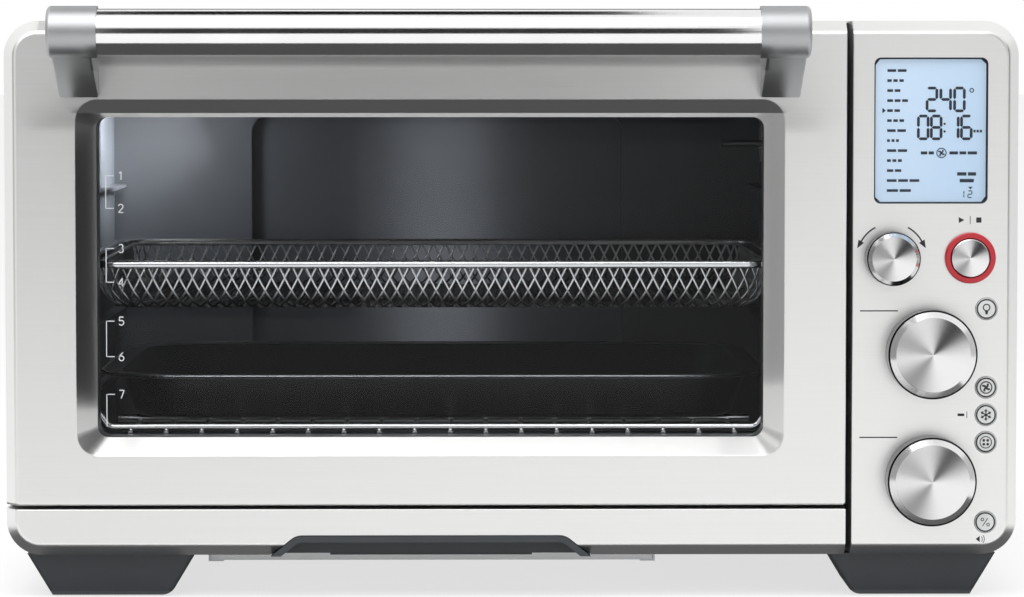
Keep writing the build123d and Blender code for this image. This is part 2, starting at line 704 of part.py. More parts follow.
with BuildPart() as handle_brackets:
    with BuildSketch(side_plane(HANDLE_LEFT + ARM_SETBACK)):
        with Locations((BAR_Y, BAR_Z)):
            Circle(SLEEVE_R - ARM_STEP)
        with Locations((FRONT_Y - BRACKET_FOOT_T / 2, FOOT_Z)):
            Rectangle(BRACKET_FOOT_T, BRACKET_FOOT_H)
        make_hull()
    extrude(amount=ARM_W)
    arm_ends = handle_brackets.faces().filter_by(Axis.X).sort_by(Axis.X)
    arm_rims = arm_ends[0].edges() + arm_ends[-1].edges()
    foot_y = FRONT_Y - BRACKET_FOOT_T / 4
    fillet(arm_rims.filter_by_position(Axis.Y, BAR_Y, foot_y, inclusive=(False, False)), ARM_SOFT)
    with BuildSketch(side_plane(HANDLE_LEFT)):
        with Locations((BAR_Y, BAR_Z)):
            Circle(SLEEVE_R)
    extrude(amount=SLEEVE_W)
    fillet(handle_brackets.faces().sort_by(Axis.X)[0].edges(), SLEEVE_DOME)
    with BuildSketch(side_plane(HANDLE_LEFT + SLEEVE_CAP)):
        with Locations((BAR_Y, BAR_Z)):
            Circle(BAR_R)
    extrude(amount=SLEEVE_W, mode=Mode.SUBTRACT)
    with BuildSketch(front_plane(FRONT_Y)):
        with Locations(*HANDLE_SCREW_SPOTS):
            Circle(SCREW_R)
    extrude(amount=SCREW_L, mode=Mode.SUBTRACT)
    mirror(about=Plane.YZ.offset(WINDOW_X))
save(handle_brackets, "handle_brackets")

with BuildPart() as handle_screws:
    with BuildSketch(front_plane(FRONT_Y + SHEET + SCREW_HEAD_H)):
        with Locations(*HANDLE_SCREW_SPOTS):
            Circle(SCREW_HEAD_R)
    extrude(amount=SCREW_HEAD_H)
    with BuildSketch(front_plane(FRONT_Y + SHEET)):
        with Locations(*HANDLE_SCREW_SPOTS):
            Circle(SCREW_R)
    extrude(amount=SCREW_L)
save(handle_screws, "handle_screws")

# Door hinges: fixed arms through the front frame, leaves inside the door, pins and return springs
with BuildPart() as hinge_brackets:
    for hinge_x in HINGE_XS:
        with BuildSketch(side_plane(hinge_x - ARM_T / 2)):
            with Locations((HINGE_Y, HINGE_Z)):
                Circle(ARM_R)
                Rectangle(CAVITY_FRONT + PLATE_T - HINGE_Y, 2 * ARM_R, align=(Align.MIN, Align.CENTER))
                Circle(PIN_R + PIN_FIT, mode=Mode.SUBTRACT)
        extrude(amount=ARM_T)
        with BuildSketch(front_plane(CAVITY_FRONT + PLATE_T)):
            with Locations((hinge_x, HINGE_Z)):
                Rectangle(PLATE_W, PLATE_H)
        extrude(amount=PLATE_T)
save(hinge_brackets, "hinge_brackets")

with BuildPart() as hinge_leaves:
    for hinge_x in HINGE_XS:
        with Locations((hinge_x, FRONT_Y + SHEET, DOOR_LOW + SHEET)):
            Box(
                2 * EAR_REACH,
                HINGE_INSET - SHEET + LEAF_BACK,
                LEAF_UP,
                align=(Align.CENTER, Align.MIN, Align.MIN),
            )
        with BuildSketch(side_plane(hinge_x - EAR_REACH)):
            with Locations((HINGE_Y, HINGE_Z)):
                Circle(PIN_R + PIN_FIT)
        extrude(amount=2 * EAR_REACH, mode=Mode.SUBTRACT)
    cut_hinge_notches()
save(hinge_leaves, "hinge_leaves")

with BuildPart() as hinge_pins:
    for hinge_x, inward in zip(HINGE_XS, (1, -1)):
        with BuildSketch(side_plane(hinge_x - inward * EAR_REACH)):
            with Locations((HINGE_Y, HINGE_Z)):
                Circle(PIN_R)
        extrude(amount=inward * (2 * EAR_REACH + SPRING_L))
save(hinge_pins, "hinge_pins")

with BuildPart() as hinge_springs:
    for hinge_x, inward in zip(HINGE_XS, (1, -1)):
        with BuildSketch(side_plane(hinge_x + inward * EAR_REACH)):
            with Locations((HINGE_Y, HINGE_Z)):
                Circle(PIN_R + SPRING_FIT + SPRING_WIRE)
                Circle(PIN_R + SPRING_FIT, mode=Mode.SUBTRACT)
        extrude(amount=inward * SPRING_L)
save(hinge_springs, "hinge_springs")

# Control fascia and what sits behind it
with BuildPart() as control_fascia:
    add(front_shell(FASCIA_LEFT, WIDTH / 2, BODY_BOTTOM, BODY_TOP, FRAME_Y, Axis.X, 0))
    with BuildSketch(front_plane(FASCIA_BACK)):
        with Locations((COLUMN_X, DISPLAY_Z)):
            RectangleRounded(DISPLAY_W, DISPLAY_H, DISPLAY_R)
        with Locations(*DIAL_SPOTS):
            Circle(SHAFT_R + SHAFT_PLAY)
        with Locations(START_SPOT):
            Circle(START_R + CAP_PLAY + RING_SPIGOT)
        with Locations(*BUTTON_SPOTS.values()):
            Circle(BUTTON_R + CAP_PLAY)
    extrude(amount=FRONT_T, mode=Mode.SUBTRACT)
save(control_fascia, "control_fascia")

with BuildPart() as display_lens:
    with BuildSketch(front_plane(FASCIA_BACK + LENS_T)):
        with Locations((COLUMN_X, DISPLAY_Z)):
            RectangleRounded(DISPLAY_W + 2 * DISPLAY_LIP, DISPLAY_H + 2 * DISPLAY_LIP, DISPLAY_R)
    extrude(amount=LENS_T)
save(display_lens, "display_lens")

with BuildPart() as lcd_module:
    with BuildSketch(front_plane(BOARD_Y - CARRIER_T)):
        with Locations((COLUMN_X, DISPLAY_Z)):
            Rectangle(DISPLAY_W + 2 * LCD_MARGIN, DISPLAY_H + 2 * LCD_MARGIN)
    extrude(amount=BOARD_BEHIND - CARRIER_T - LENS_T)
save(lcd_module, "lcd_module")

with BuildPart() as control_carrier:
    with BuildSketch(front_plane(BOARD_Y)):
        with Locations((BOARD_X, MID_Z)):
            Rectangle(BOARD_W, BOARD_H)
        with Locations(*DIAL_SPOTS):
            Rectangle(ENCODER_W + 2 * CARRIER_PLAY, ENCODER_W + 2 * CARRIER_PLAY, mode=Mode.SUBTRACT)
        with Locations(START_SPOT, *BUTTON_SPOTS.values()):
            Rectangle(SWITCH_W + 2 * CARRIER_PLAY, SWITCH_W + 2 * CARRIER_PLAY, mode=Mode.SUBTRACT)
    extrude(amount=CARRIER_T)
    with BuildSketch(front_plane(BOARD_Y)):
        with Locations(*POST_SPOTS):
            Circle(POST_R)
    extrude(amount=BOARD_BEHIND)
save(control_carrier, "control_carrier")

# Board with its soldered encoders and switches
with BuildPart() as control_board:
    with BuildSketch(front_plane(BOARD_Y + BOARD_T)):
        with Locations((BOARD_X, MID_Z)):
            Rectangle(BOARD_W, BOARD_H)
    extrude(amount=BOARD_T)
    with BuildSketch(front_plane(BOARD_Y)):
        with Locations(*DIAL_SPOTS):
            Rectangle(ENCODER_W, ENCODER_W)
    extrude(amount=ENCODER_T)
    with BuildSketch(front_plane(BOARD_Y)):
        with Locations(START_SPOT, *BUTTON_SPOTS.values()):
            Rectangle(SWITCH_W, SWITCH_W)
    extrude(amount=SWITCH_T)
    with BuildSketch(front_plane(SHAFT_END)):
        with Locations(*DIAL_SPOTS):
            Circle(SHAFT_R + PIN_FIT)
    extrude(amount=SHAFT_SUNK, mode=Mode.SUBTRACT)
save(control_board, "control_board")


def dial(spot, radius, height, edge, lift):
    """A hollow turned knob: a flat face, a slanted edge, a skirt and an inner boss for the shaft."""
    x, z = spot
    back = FRONT_Y - lift
    face = back - height
    inside = face + DIAL_WALL
    bore = SHAFT_R + PIN_FIT
    with BuildPart() as knob:
        with BuildSketch(side_plane(x)):
            with BuildLine():
                Polyline(
                    (face, z),
                    (face, z + radius - edge),
                    (face + DIAL_EDGE_DEEP, z + radius),
                    (back, z + radius),
                    (back, z + radius - DIAL_WALL),
                    (inside + DIAL_EDGE_DEEP, z + radius - DIAL_WALL),
                    (inside, z + radius - DIAL_WALL - edge),
                    (inside, z + BOSS_R),
                    (back, z + BOSS_R),
                    (back, z + bore),
                    (inside, z + bore),
                    (inside, z),
                    close=True,
                )
            make_face()
        revolve(axis=Axis((x, 0, z), (0, 1, 0)))
    return knob


def dial_shaft(spot, height, lift):
    """The round shaft from a knob's inside to its encoder."""
    front = FRONT_Y - lift - height + DIAL_WALL
    with BuildPart() as shaft:
        with BuildSketch(front_plane(SHAFT_END - STOP_GAP - lift)):
            with Locations(spot):
                Circle(SHAFT_R)
        extrude(amount=SHAFT_END - STOP_GAP - lift - front)
    return shaft


save(dial(SELECT_SPOT, SELECT_R, SELECT_H, SELECT_EDGE, SELECT_LIFT), "select_knob")
save(dial_shaft(SELECT_SPOT, SELECT_H, SELECT_LIFT), "select_shaft")
save(dial(TEMPERATURE_SPOT, DIAL_R, DIAL_H, DIAL_EDGE, DIAL_LIFT), "temperature_knob")
save(dial_shaft(TEMPERATURE_SPOT, DIAL_H, DIAL_LIFT), "temperature_shaft")
save(dial(TIME_SPOT, DIAL_R, DIAL_H, DIAL_EDGE, DIAL_LIFT), "time_knob")
save(dial_shaft(TIME_SPOT, DIAL_H, DIAL_LIFT), "time_shaft")

with BuildPart() as start_ring:
    with BuildSketch(front_plane(FRONT_Y)):
        with Locations(START_SPOT):
            Circle(START_R + CAP_PLAY + RING_W)
    extrude(amount=RING_T)
    fillet(start_ring.faces().sort_by(Axis.Y)[0].edges(), RING_W / 3)
    with BuildSketch(front_plane(FRONT_Y + RING_DEEP)):
        with Locations(START_SPOT):
            Circle(START_R + CAP_PLAY + RING_SPIGOT)
    extrude(amount=RING_DEEP)
    with BuildSketch(front_plane(FRONT_Y + RING_DEEP)):
        with Locations(START_SPOT):
            Circle(START_R + CAP_PLAY)
    extrude(amount=2 * RING_DEEP, mode=Mode.SUBTRACT)
save(start_ring, "start_ring")

with BuildPart() as start_button:
    with BuildSketch(front_plane(FRONT_Y + RING_DEEP)):
        with Locations(START_SPOT):
            Circle(START_R)
    extrude(amount=RING_DEEP + RING_T + START_OUT)
    fillet(start_button.faces().sort_by(Axis.Y)[0].edges(), 2 * BUTTON_SOFT)
    with BuildSketch(front_plane(SWITCH_Y - BUTTON_TRAVEL - STOP_GAP)):
        with Locations(START_SPOT):
            Circle(STEM_R)
    extrude(amount=SWITCH_Y - BUTTON_TRAVEL - STOP_GAP - FRONT_Y)
save(start_button, "start_button")

for button_name, button_spot in BUTTON_SPOTS.items():
    with BuildPart() as small_button:
        with BuildSketch(front_plane(FASCIA_BACK + STOP_GAP)):
            with Locations(button_spot):
                Circle(BUTTON_R)
        extrude(amount=SHEET + STOP_GAP + BUTTON_OUT)
        fillet(small_button.faces().sort_by(Axis.Y)[0].edges(), BUTTON_SOFT)
        with BuildSketch(front_plane(FASCIA_BACK + STOP_GAP + BUTTON_FLANGE_T)):
            with Locations(button_spot):
                Circle(BUTTON_R + BUTTON_FLANGE)
        extrude(amount=BUTTON_FLANGE_T)
        with BuildSketch(front_plane(SWITCH_Y - BUTTON_TRAVEL - STOP_GAP)):
            with Locations(button_spot):
                Circle(STEM_R)
        extrude(amount=SWITCH_Y - BUTTON_TRAVEL - STOP_GAP - FASCIA_BACK)
    save(small_button, button_name)

# Power board standing on the base, with its transformer and relays
with BuildPart() as power_board:
    board_x = WIDTH / 2 - POWER_SIDE
    board_y = BACK_Y - POWER_BACK - POWER_DEEP / 2
    with Locations((board_x, board_y, FLOOR_Z + POWER_H / 2)):
        Box(BOARD_T, POWER_DEEP, POWER_H)
    for step, (out, deep, high) in enumerate(POWER_PARTS):
        with Locations((board_x - BOARD_T / 2, board_y + (step - 1) * POWER_DEEP / 3, FLOOR_Z + POWER_H / 2)):
            Box(out, deep, high, align=(Align.MAX, Align.CENTER, Align.CENTER))
save(power_board, "power_board")

# Oven cavity: roof, back with its pressed recess, and two side walls with shelf rails
with BuildPart() as cavity_roof:
    with Locations((CAVITY_X, CAVITY_FRONT, ROOF_Z)):
        Box(
            CAVITY_W + 2 * SHEET,
            CAVITY_BACK + SHEET - CAVITY_FRONT,
            SHEET,
            align=(Align.CENTER, Align.MIN, Align.MIN),
        )
save(cavity_roof, "cavity_roof")

with BuildPart() as cavity_back:
    bulge_z = (FLOOR_Z + BULGE_LOW + ROOF_Z - BULGE_TOP) / 2
    bulge_h = ROOF_Z - BULGE_TOP - FLOOR_Z - BULGE_LOW
    with BuildSketch(front_plane(CAVITY_BACK + SHEET)):
        with Locations((CAVITY_X, (FLOOR_Z + ROOF_Z) / 2)):
            Rectangle(CAVITY_W + 2 * SHEET, ROOF_Z - FLOOR_Z)
    extrude(amount=SHEET)
    with BuildSketch(front_plane(CAVITY_BACK + BULGE_DEEP + SHEET)):
        with Locations((CAVITY_X, bulge_z)):
            RectangleRounded(BULGE_W + 2 * SHEET, bulge_h + 2 * SHEET, BULGE_R + SHEET)
    extrude(amount=BULGE_DEEP + SHEET)
    with BuildSketch(front_plane(CAVITY_BACK + BULGE_DEEP)):
        with Locations((CAVITY_X, bulge_z)):
            RectangleRounded(BULGE_W, bulge_h, BULGE_R)
    extrude(amount=BULGE_DEEP, mode=Mode.SUBTRACT)
save(cavity_back, "cavity_back")


def cavity_side(wall_x, inward):
    """A side wall with its rails: level ledges on top, slanted back to the wall underneath."""
    with BuildPart() as side:
        with Locations((wall_x - inward * SHEET / 2, CAVITY_Y, (FLOOR_Z + ROOF_Z) / 2)):
            Box(SHEET, CAVITY_BACK - CAVITY_FRONT, ROOF_Z - FLOOR_Z)
        with BuildSketch(front_plane(CAVITY_BACK - RAIL_END_GAP)):
            for rail_z in RAILS_Z:
                with BuildLine():
                    Polyline(
                        (wall_x, rail_z),
                        (wall_x + inward * RAIL_OUT, rail_z),
                        (wall_x + inward * RAIL_OUT, rail_z - RAIL_H + RAIL_SLOPE),
                        (wall_x, rail_z - RAIL_H),
                        close=True,
                    )
                make_face()
        extrude(amount=CAVITY_BACK - CAVITY_FRONT - 2 * RAIL_END_GAP)
    return side


save(cavity_side(CAVITY_LEFT, 1), "cavity_side_left")

right_wall = cavity_side(CAVITY_RIGHT, -1)
with BuildPart() as cavity_side_right:
    add(right_wall.part)
    with BuildSketch(side_plane(CAVITY_RIGHT - SHEET)):
        with Locations(*FAN_HOLES):
            Circle(FAN_HOLE_R)
        with Locations(LAMP_SPOT):
            Circle(LAMP_R - LAMP_LAP)
        with Locations(SENSOR_SPOT):
            Circle(SENSOR_R)
    extrude(amount=3 * SHEET, mode=Mode.SUBTRACT)
save(cavity_side_right, "cavity_side_right")

# Quartz heating elements along X, in ceramic end caps on both side walls
with BuildPart() as heating_elements:
    with BuildSketch(side_plane(CAVITY_LEFT + CAP_L - CAP_SUNK)):
        with Locations(*ELEMENT_SPOTS):
            Circle(ELEMENT_R)
            Circle(ELEMENT_R - ELEMENT_WALL, mode=Mode.SUBTRACT)
    extrude(amount=CAVITY_W - 2 * (CAP_L - CAP_SUNK))
save(heating_elements, "heating_elements")

with BuildPart() as element_caps:
    for cap_x, inward in ((CAVITY_LEFT, 1), (CAVITY_RIGHT, -1)):
        with BuildSketch(side_plane(cap_x)):
            with Locations(*ELEMENT_SPOTS):
                Circle(CAP_R)
        extrude(amount=inward * CAP_L)
        with BuildSketch(side_plane(cap_x + inward * (CAP_L - CAP_SUNK))):
            with Locations(*ELEMENT_SPOTS):
                Circle(ELEMENT_R + CAP_FIT)
        extrude(amount=inward * CAP_SUNK, mode=Mode.SUBTRACT)
save(element_caps, "element_caps")

# Convection fan behind the right wall
with BuildPart() as fan_housing:
    with BuildSketch(side_plane(CAVITY_RIGHT + SHEET)):
        with Locations(FAN_SPOT):
            Circle(FAN_R + HOUSING_PLAY + SHEET)
    extrude(amount=HOUSING_DEEP)
    with BuildSketch(side_plane(CAVITY_RIGHT + SHEET)):
        with Locations(FAN_SPOT):
            Circle(FAN_R + HOUSING_PLAY)
    extrude(amount=HOUSING_DEEP - SHEET, mode=Mode.SUBTRACT)
    with BuildSketch(side_plane(CAVITY_RIGHT + SHEET)):
        with Locations(FAN_SPOT):
            Circle(FAN_SHAFT_R + PIN_FIT)
    extrude(amount=HOUSING_DEEP, mode=Mode.SUBTRACT)
save(fan_housing, "fan_housing")

with BuildPart() as fan_motor:
    with BuildSketch(side_plane(HOUSING_X)):
        with Locations(FAN_SPOT):
            Circle(MOTOR_R)
    extrude(amount=MOTOR_L)
    with BuildSketch(side_plane(HOUSING_X)):
        with Locations(FAN_SPOT):
            Circle(FAN_SHAFT_R + PIN_FIT)
    extrude(amount=MOTOR_L - MOTOR_CAP, mode=Mode.SUBTRACT)
save(fan_motor, "fan_motor")

with BuildPart() as convection_fan:
    with BuildSketch(side_plane(FAN_X)):
        with Locations(FAN_SPOT):
            Circle(FAN_HUB_R)
            with PolarLocations(0, FAN_BLADES):
                Rectangle(FAN_R, BLADE_T, align=(Align.MIN, Align.CENTER))
    extrude(amount=FAN_W)
    with BuildSketch(side_plane(FAN_X + FAN_W - BLADE_T)):
        with Locations(FAN_SPOT):
            Circle(FAN_R)
    extrude(amount=BLADE_T)
    with BuildSketch(side_plane(FAN_X)):
        with Locations(FAN_SPOT):
            Circle(FAN_SHAFT_R + PIN_FIT)
    extrude(amount=FAN_W, mode=Mode.SUBTRACT)
save(convection_fan, "convection_fan")

with BuildPart() as fan_shaft:
    with BuildSketch(side_plane(FAN_X)):
        with Locations(FAN_SPOT):
            Circle(FAN_SHAFT_R)
    extrude(amount=HOUSING_X + MOTOR_L - MOTOR_CAP - STOP_GAP - FAN_X)
save(fan_shaft, "fan_shaft")

# Oven lamp: a lens in the cavity, a holder outside the wall, the bulb inside it
with BuildPart() as lamp_lens:
    with BuildSketch(side_plane(CAVITY_RIGHT)):
        with Locations(LAMP_SPOT):
            Circle(LAMP_R)
    extrude(amount=-LAMP_LENS_T)
    fillet(lamp_lens.faces().sort_by(Axis.X)[0].edges(), LAMP_LENS_T / 2)
save(lamp_lens, "lamp_lens")

with BuildPart() as lamp_holder:
    with BuildSketch(side_plane(CAVITY_RIGHT + SHEET)):
        with Locations(LAMP_SPOT):
            Circle(LAMP_R)
    extrude(amount=LAMP_DEEP)
    with BuildSketch(side_plane(CAVITY_RIGHT + SHEET)):
        with Locations(LAMP_SPOT):
            Circle(LAMP_R - LAMP_LAP)
    extrude(amount=LAMP_DEEP - LAMP_LAP, mode=Mode.SUBTRACT)
save(lamp_holder, "lamp_holder")

with BuildPart() as lamp_bulb:
    with BuildSketch(side_plane(CAVITY_RIGHT + SHEET + LAMP_DEEP - LAMP_LAP)):
        with Locations(LAMP_SPOT):
            Circle(BULB_R)
    extrude(amount=-BULB_L)
    fillet(lamp_bulb.faces().sort_by(Axis.X)[0].edges(), BULB_R / 2)
save(lamp_bulb, "lamp_bulb")

with BuildPart() as temperature_sensor:
    with BuildSketch(side_plane(CAVITY_RIGHT - SENSOR_L)):
        with Locations(SENSOR_SPOT):
            Circle(SENSOR_R)
    extrude(amount=SENSOR_L + SENSOR_TAIL)
    with BuildSketch(side_plane(CAVITY_RIGHT)):
        with Locations(SENSOR_SPOT):
            Circle(SENSOR_FLANGE_R)
    extrude(amount=-SENSOR_R)
save(temperature_sensor, "temperature_sensor")


# Cookware: wire rack with the roasting pan on it, and the mesh basket above
def tub(centre_y, bottom, width, depth, height, lean, radius, soft, wall):
    """An open tray whose sides lean outwards, with a rounded bottom edge."""
    angle = math.degrees(math.atan2(lean, height))
    with BuildPart() as hollow:
        with BuildSketch(level_plane(bottom + wall)):
            with Locations((CAVITY_X, centre_y)):
                RectangleRounded(width - 2 * lean - 2 * wall, depth - 2 * lean - 2 * wall, radius - wall)
        extrude(amount=height, taper=-angle)
        fillet(hollow.faces().sort_by(Axis.Z)[0].edges(), soft - wall)
    with BuildPart() as tray:
        with BuildSketch(level_plane(bottom)):
            with Locations((CAVITY_X, centre_y)):
                RectangleRounded(width - 2 * lean, depth - 2 * lean, radius)
        extrude(amount=height, taper=-angle)
        fillet(tray.faces().sort_by(Axis.Z)[0].edges(), soft)
        add(hollow.part, mode=Mode.SUBTRACT)
    return tray.part


with BuildPart() as wire_rack:
    rack_back = RACK_FRONT + RACK_DEPTH
    shoulder = RUNNER_X - RACK_STEP_IN
    floor_x = shoulder - RACK_RISE
    profile = [(-RUNNER_X, RACK_Z), (-shoulder, RACK_Z), (-floor_x, RACK_FLOOR_Z)]
    profile += [(-x, z) for x, z in reversed(profile)]
    front_half = [(CAVITY_X + x, RACK_FRONT, z) for x, z in profile]
    back_half = [(CAVITY_X + x, rack_back, z) for x, z in reversed(profile)]
    for end in (front_half, back_half):
        with BuildLine() as route:
            FilletPolyline(*end, radius=WIRE_BEND)
        with BuildSketch(Plane(origin=route.line @ 0, z_dir=route.line % 0)):
            Circle(WIRE_R)
        sweep(path=route.wires()[0])
    with BuildSketch(front_plane(rack_back)):
        with Locations((CAVITY_X, RACK_Z)):
            with GridLocations(2 * RUNNER_X, 0, 2, 1):
                Circle(WIRE_R)
    extrude(amount=RACK_DEPTH)
    for corner_x in (CAVITY_X - RUNNER_X, CAVITY_X + RUNNER_X):
        with Locations((corner_x, RACK_FRONT, RACK_Z), (corner_x, rack_back, RACK_Z)):
            Sphere(WIRE_R)
    with BuildSketch(side_plane(CAVITY_X - floor_x)):
        with Locations((RACK_FRONT + RACK_DEPTH / 2, RACK_FLOOR_Z)):
            with GridLocations(RACK_BAR_PITCH, 0, RACK_BARS, 1):
                Circle(WIRE_R)
    extrude(amount=2 * floor_x)
    rod_count = int(2 * (floor_x - 2 * WIRE_BEND) // RACK_ROD_PITCH) + 1
    with BuildSketch(front_plane(rack_back + RACK_ROD_OUT)):
        with Locations((CAVITY_X, RACK_FLOOR_Z - WIRE_R - RACK_ROD_R + WELD)):
            with GridLocations(RACK_ROD_PITCH, 0, rod_count, 1):
                Circle(RACK_ROD_R)
    extrude(amount=RACK_DEPTH + 2 * RACK_ROD_OUT)
save(wire_rack, "wire_rack")

with BuildPart() as roasting_pan:
    pan_y = RACK_FRONT + RACK_DEPTH / 2
    add(tub(pan_y, PAN_Z, PAN_W, PAN_DEPTH, PAN_H, PAN_TAPER, PAN_R, PAN_SOFT, PAN_T))
    with BuildSketch(level_plane(PAN_Z + PAN_H - PAN_T)):
        with Locations((CAVITY_X, pan_y)):
            rim_r = PAN_R + PAN_TAPER
            RectangleRounded(PAN_W + 2 * PAN_FLANGE, PAN_DEPTH + 2 * PAN_FLANGE, rim_r + PAN_FLANGE)
            RectangleRounded(PAN_W - 2 * PAN_T, PAN_DEPTH - 2 * PAN_T, rim_r - PAN_T, mode=Mode.SUBTRACT)
    extrude(amount=PAN_T)
save(roasting_pan, "roasting_pan")

with BuildPart() as basket_frame:
    with BuildSketch(level_plane(BASKET_Z)):
        with Locations((CAVITY_X, BASKET_Y)):
            RectangleRounded(2 * RUNNER_X, BASKET_DEPTH, BASKET_CORNER)
    frame_path = basket_frame.pending_faces[0].outer_wire()
    basket_frame.pending_faces.clear()
    start_edge = frame_path.edges().filter_by(GeomType.LINE).sort_by(Axis.X)[0]
    with BuildSketch(Plane(origin=start_edge @ 0.5, z_dir=start_edge % 0.5)):
        Circle(WIRE_R)
    sweep(path=frame_path)
save(basket_frame, "basket_frame")

with BuildPart() as basket_mesh:
    rim_w = 2 * (RUNNER_X - WIRE_R - REST_GAP)
    rim_d = BASKET_DEPTH - 2 * (WIRE_R + REST_GAP)
    tub_w, tub_d = 2 * RUNNER_X - 2 * BASKET_INSET, BASKET_DEPTH - 2 * BASKET_INSET
    tub_r = BASKET_CORNER - BASKET_T
    floor_z = BASKET_Z + BASKET_T / 2 - BASKET_DROP
    add(tub(BASKET_Y, floor_z, tub_w, tub_d, BASKET_DROP, BASKET_T, tub_r, BASKET_SOFT, BASKET_T))
    with BuildSketch(level_plane(BASKET_Z - BASKET_T / 2)):
        with Locations((CAVITY_X, BASKET_Y)):
            RectangleRounded(rim_w, rim_d, BASKET_CORNER - WIRE_R - REST_GAP)
            RectangleRounded(tub_w - 2 * BASKET_T, tub_d - 2 * BASKET_T, tub_r, mode=Mode.SUBTRACT)
    extrude(amount=BASKET_T)
    cell_x = (tub_w - 2 * BASKET_SOFT - 2 * MESH_MARGIN) / MESH_COLUMNS
    cell_y = (tub_d - 2 * BASKET_SOFT - 2 * MESH_MARGIN) / MESH_ROWS
    with BuildSketch(level_plane(floor_z)):
        with Locations((CAVITY_X, BASKET_Y)):
            with GridLocations(cell_x, cell_y, MESH_COLUMNS, MESH_ROWS):
                Polygon(
                    (-cell_x / 2 + MESH_STRAND, 0),
                    (0, -cell_y / 2 + MESH_STRAND),
                    (cell_x / 2 - MESH_STRAND, 0),
                    (0, cell_y / 2 - MESH_STRAND),
                )
    extrude(amount=BASKET_T, mode=Mode.SUBTRACT)
save(basket_mesh, "basket_mesh")

# Crumb tray on two runners under the base, pulled by the arch in the trim
with BuildPart() as crumb_tray:
    with Locations((WINDOW_X, TRAY_Y, TRAY_LOW + TRAY_H / 2)):
        Box(TRAY_W, TRAY_DEPTH, TRAY_H)
    with Locations((WINDOW_X, TRAY_Y, TRAY_LOW + TRAY_T + TRAY_H / 2)):
        Box(TRAY_W - 2 * TRAY_T, TRAY_DEPTH - 2 * TRAY_T, TRAY_H, mode=Mode.SUBTRACT)
save(crumb_tray, "crumb_tray")

with BuildPart() as crumb_tray_handle:
    step_y = FRAME_Y - PULL_WALL - TRAY_PLAY
    tongue_z = TRAY_TOP - TONGUE_T / 2
    tray_front = FRONT_Y + TRAY_BEHIND
    with BuildSketch(front_plane(FRONT_Y + PULL_DEEP)):
        pull_outline(0)
    extrude(amount=PULL_DEEP)
    with BuildSketch(front_plane(FRONT_Y + PULL_DEEP - PULL_WALL)):
        pull_outline(-PULL_RIM)
    extrude(amount=PULL_DEEP, mode=Mode.SUBTRACT)
    split(bisect_by=level_plane(BODY_BOTTOM), keep=Keep.TOP)
    with BuildSketch(side_plane(WINDOW_X)):
        with BuildLine():
            Polyline(
                (FRONT_Y + PULL_DEEP - PULL_WALL, BODY_BOTTOM),
                (step_y, BODY_BOTTOM),
                (step_y, TRAY_TOP - TONGUE_T),
                (tray_front, TRAY_TOP - TONGUE_T),
                (tray_front, TRAY_TOP),
                (step_y + TONGUE_T, TRAY_TOP),
                (step_y + TONGUE_T, BODY_BOTTOM + TONGUE_T),
                (FRONT_Y + PULL_DEEP - PULL_WALL, BODY_BOTTOM + TONGUE_T),
                close=True,
            )
        make_face()
    extrude(amount=TONGUE_W / 2, both=True)
save(crumb_tray_handle, "crumb_tray_handle")

with BuildPart() as tray_runners:
    lip_z = TRAY_LOW - REST_GAP
    for side in (-1, 1):
        wall_x = WINDOW_X + side * (TRAY_W / 2 + TRAY_PLAY)
        with BuildSketch(front_plane(TRAY_Y + TRAY_DEPTH / 2)):
            with BuildLine():
                Polyline(
                    (wall_x, BODY_BOTTOM),
                    (wall_x + side * RUNNER_T, BODY_BOTTOM),
                    (wall_x + side * RUNNER_T, lip_z - RUNNER_T),
                    (wall_x - side * RUNNER_LIP, lip_z - RUNNER_T),
                    (wall_x - side * RUNNER_LIP, lip_z),
                    (wall_x, lip_z),
                    close=True,
                )
            make_face()
        extrude(amount=TRAY_DEPTH - RUNNER_LIP)
save(tray_runners, "tray_runners")

# Feet with rubber pads: wedges whose inner lower edge is rounded
with BuildPart() as feet:
    for foot_x, foot_y in FOOT_SPOTS:
        inward = -1 if foot_x > 0 else 1
        with BuildSketch(front_plane(foot_y + FOOT_D / 2)) as wedge:
            with BuildLine():
                Polyline(
                    (foot_x - inward * FOOT_TOP_W / 2, BODY_BOTTOM),
                    (foot_x - inward * FOOT_LOW_W / 2, PAD_OUT),
                    (foot_x + inward * FOOT_LOW_W / 2, PAD_OUT),
                    (foot_x + inward * FOOT_TOP_W / 2, BODY_BOTTOM),
                    close=True,
                )
            make_face()
            low_corners = wedge.vertices().group_by(Axis.Y)[0].sort_by(Axis.X)
            fillet(low_corners[0] if foot_x > 0 else low_corners[-1], FOOT_SOFT)
        extrude(amount=FOOT_D)
    foot_ends = feet.faces().filter_by(Axis.Y)
    fillet(foot_ends.edges().filter_by(lambda edge: edge.center().Z < BODY_BOTTOM - FOOT_EDGE), FOOT_EDGE)
    with BuildSketch(level_plane(PAD_OUT)):
        with Locations(*FOOT_SPOTS):
            Circle(PAD_R)
    extrude(amount=PAD_T - PAD_OUT, mode=Mode.SUBTRACT)
save(feet, "feet")

with BuildPart() as foot_pads:
    with BuildSketch(level_plane(0)):
        with Locations(*FOOT_SPOTS):
            Circle(PAD_R)
    extrude(amount=PAD_T)
save(foot_pads, "foot_pads")
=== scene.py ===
"""Looks of a countertop oven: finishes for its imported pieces, wire basket, display, printed marks and studio."""

import math

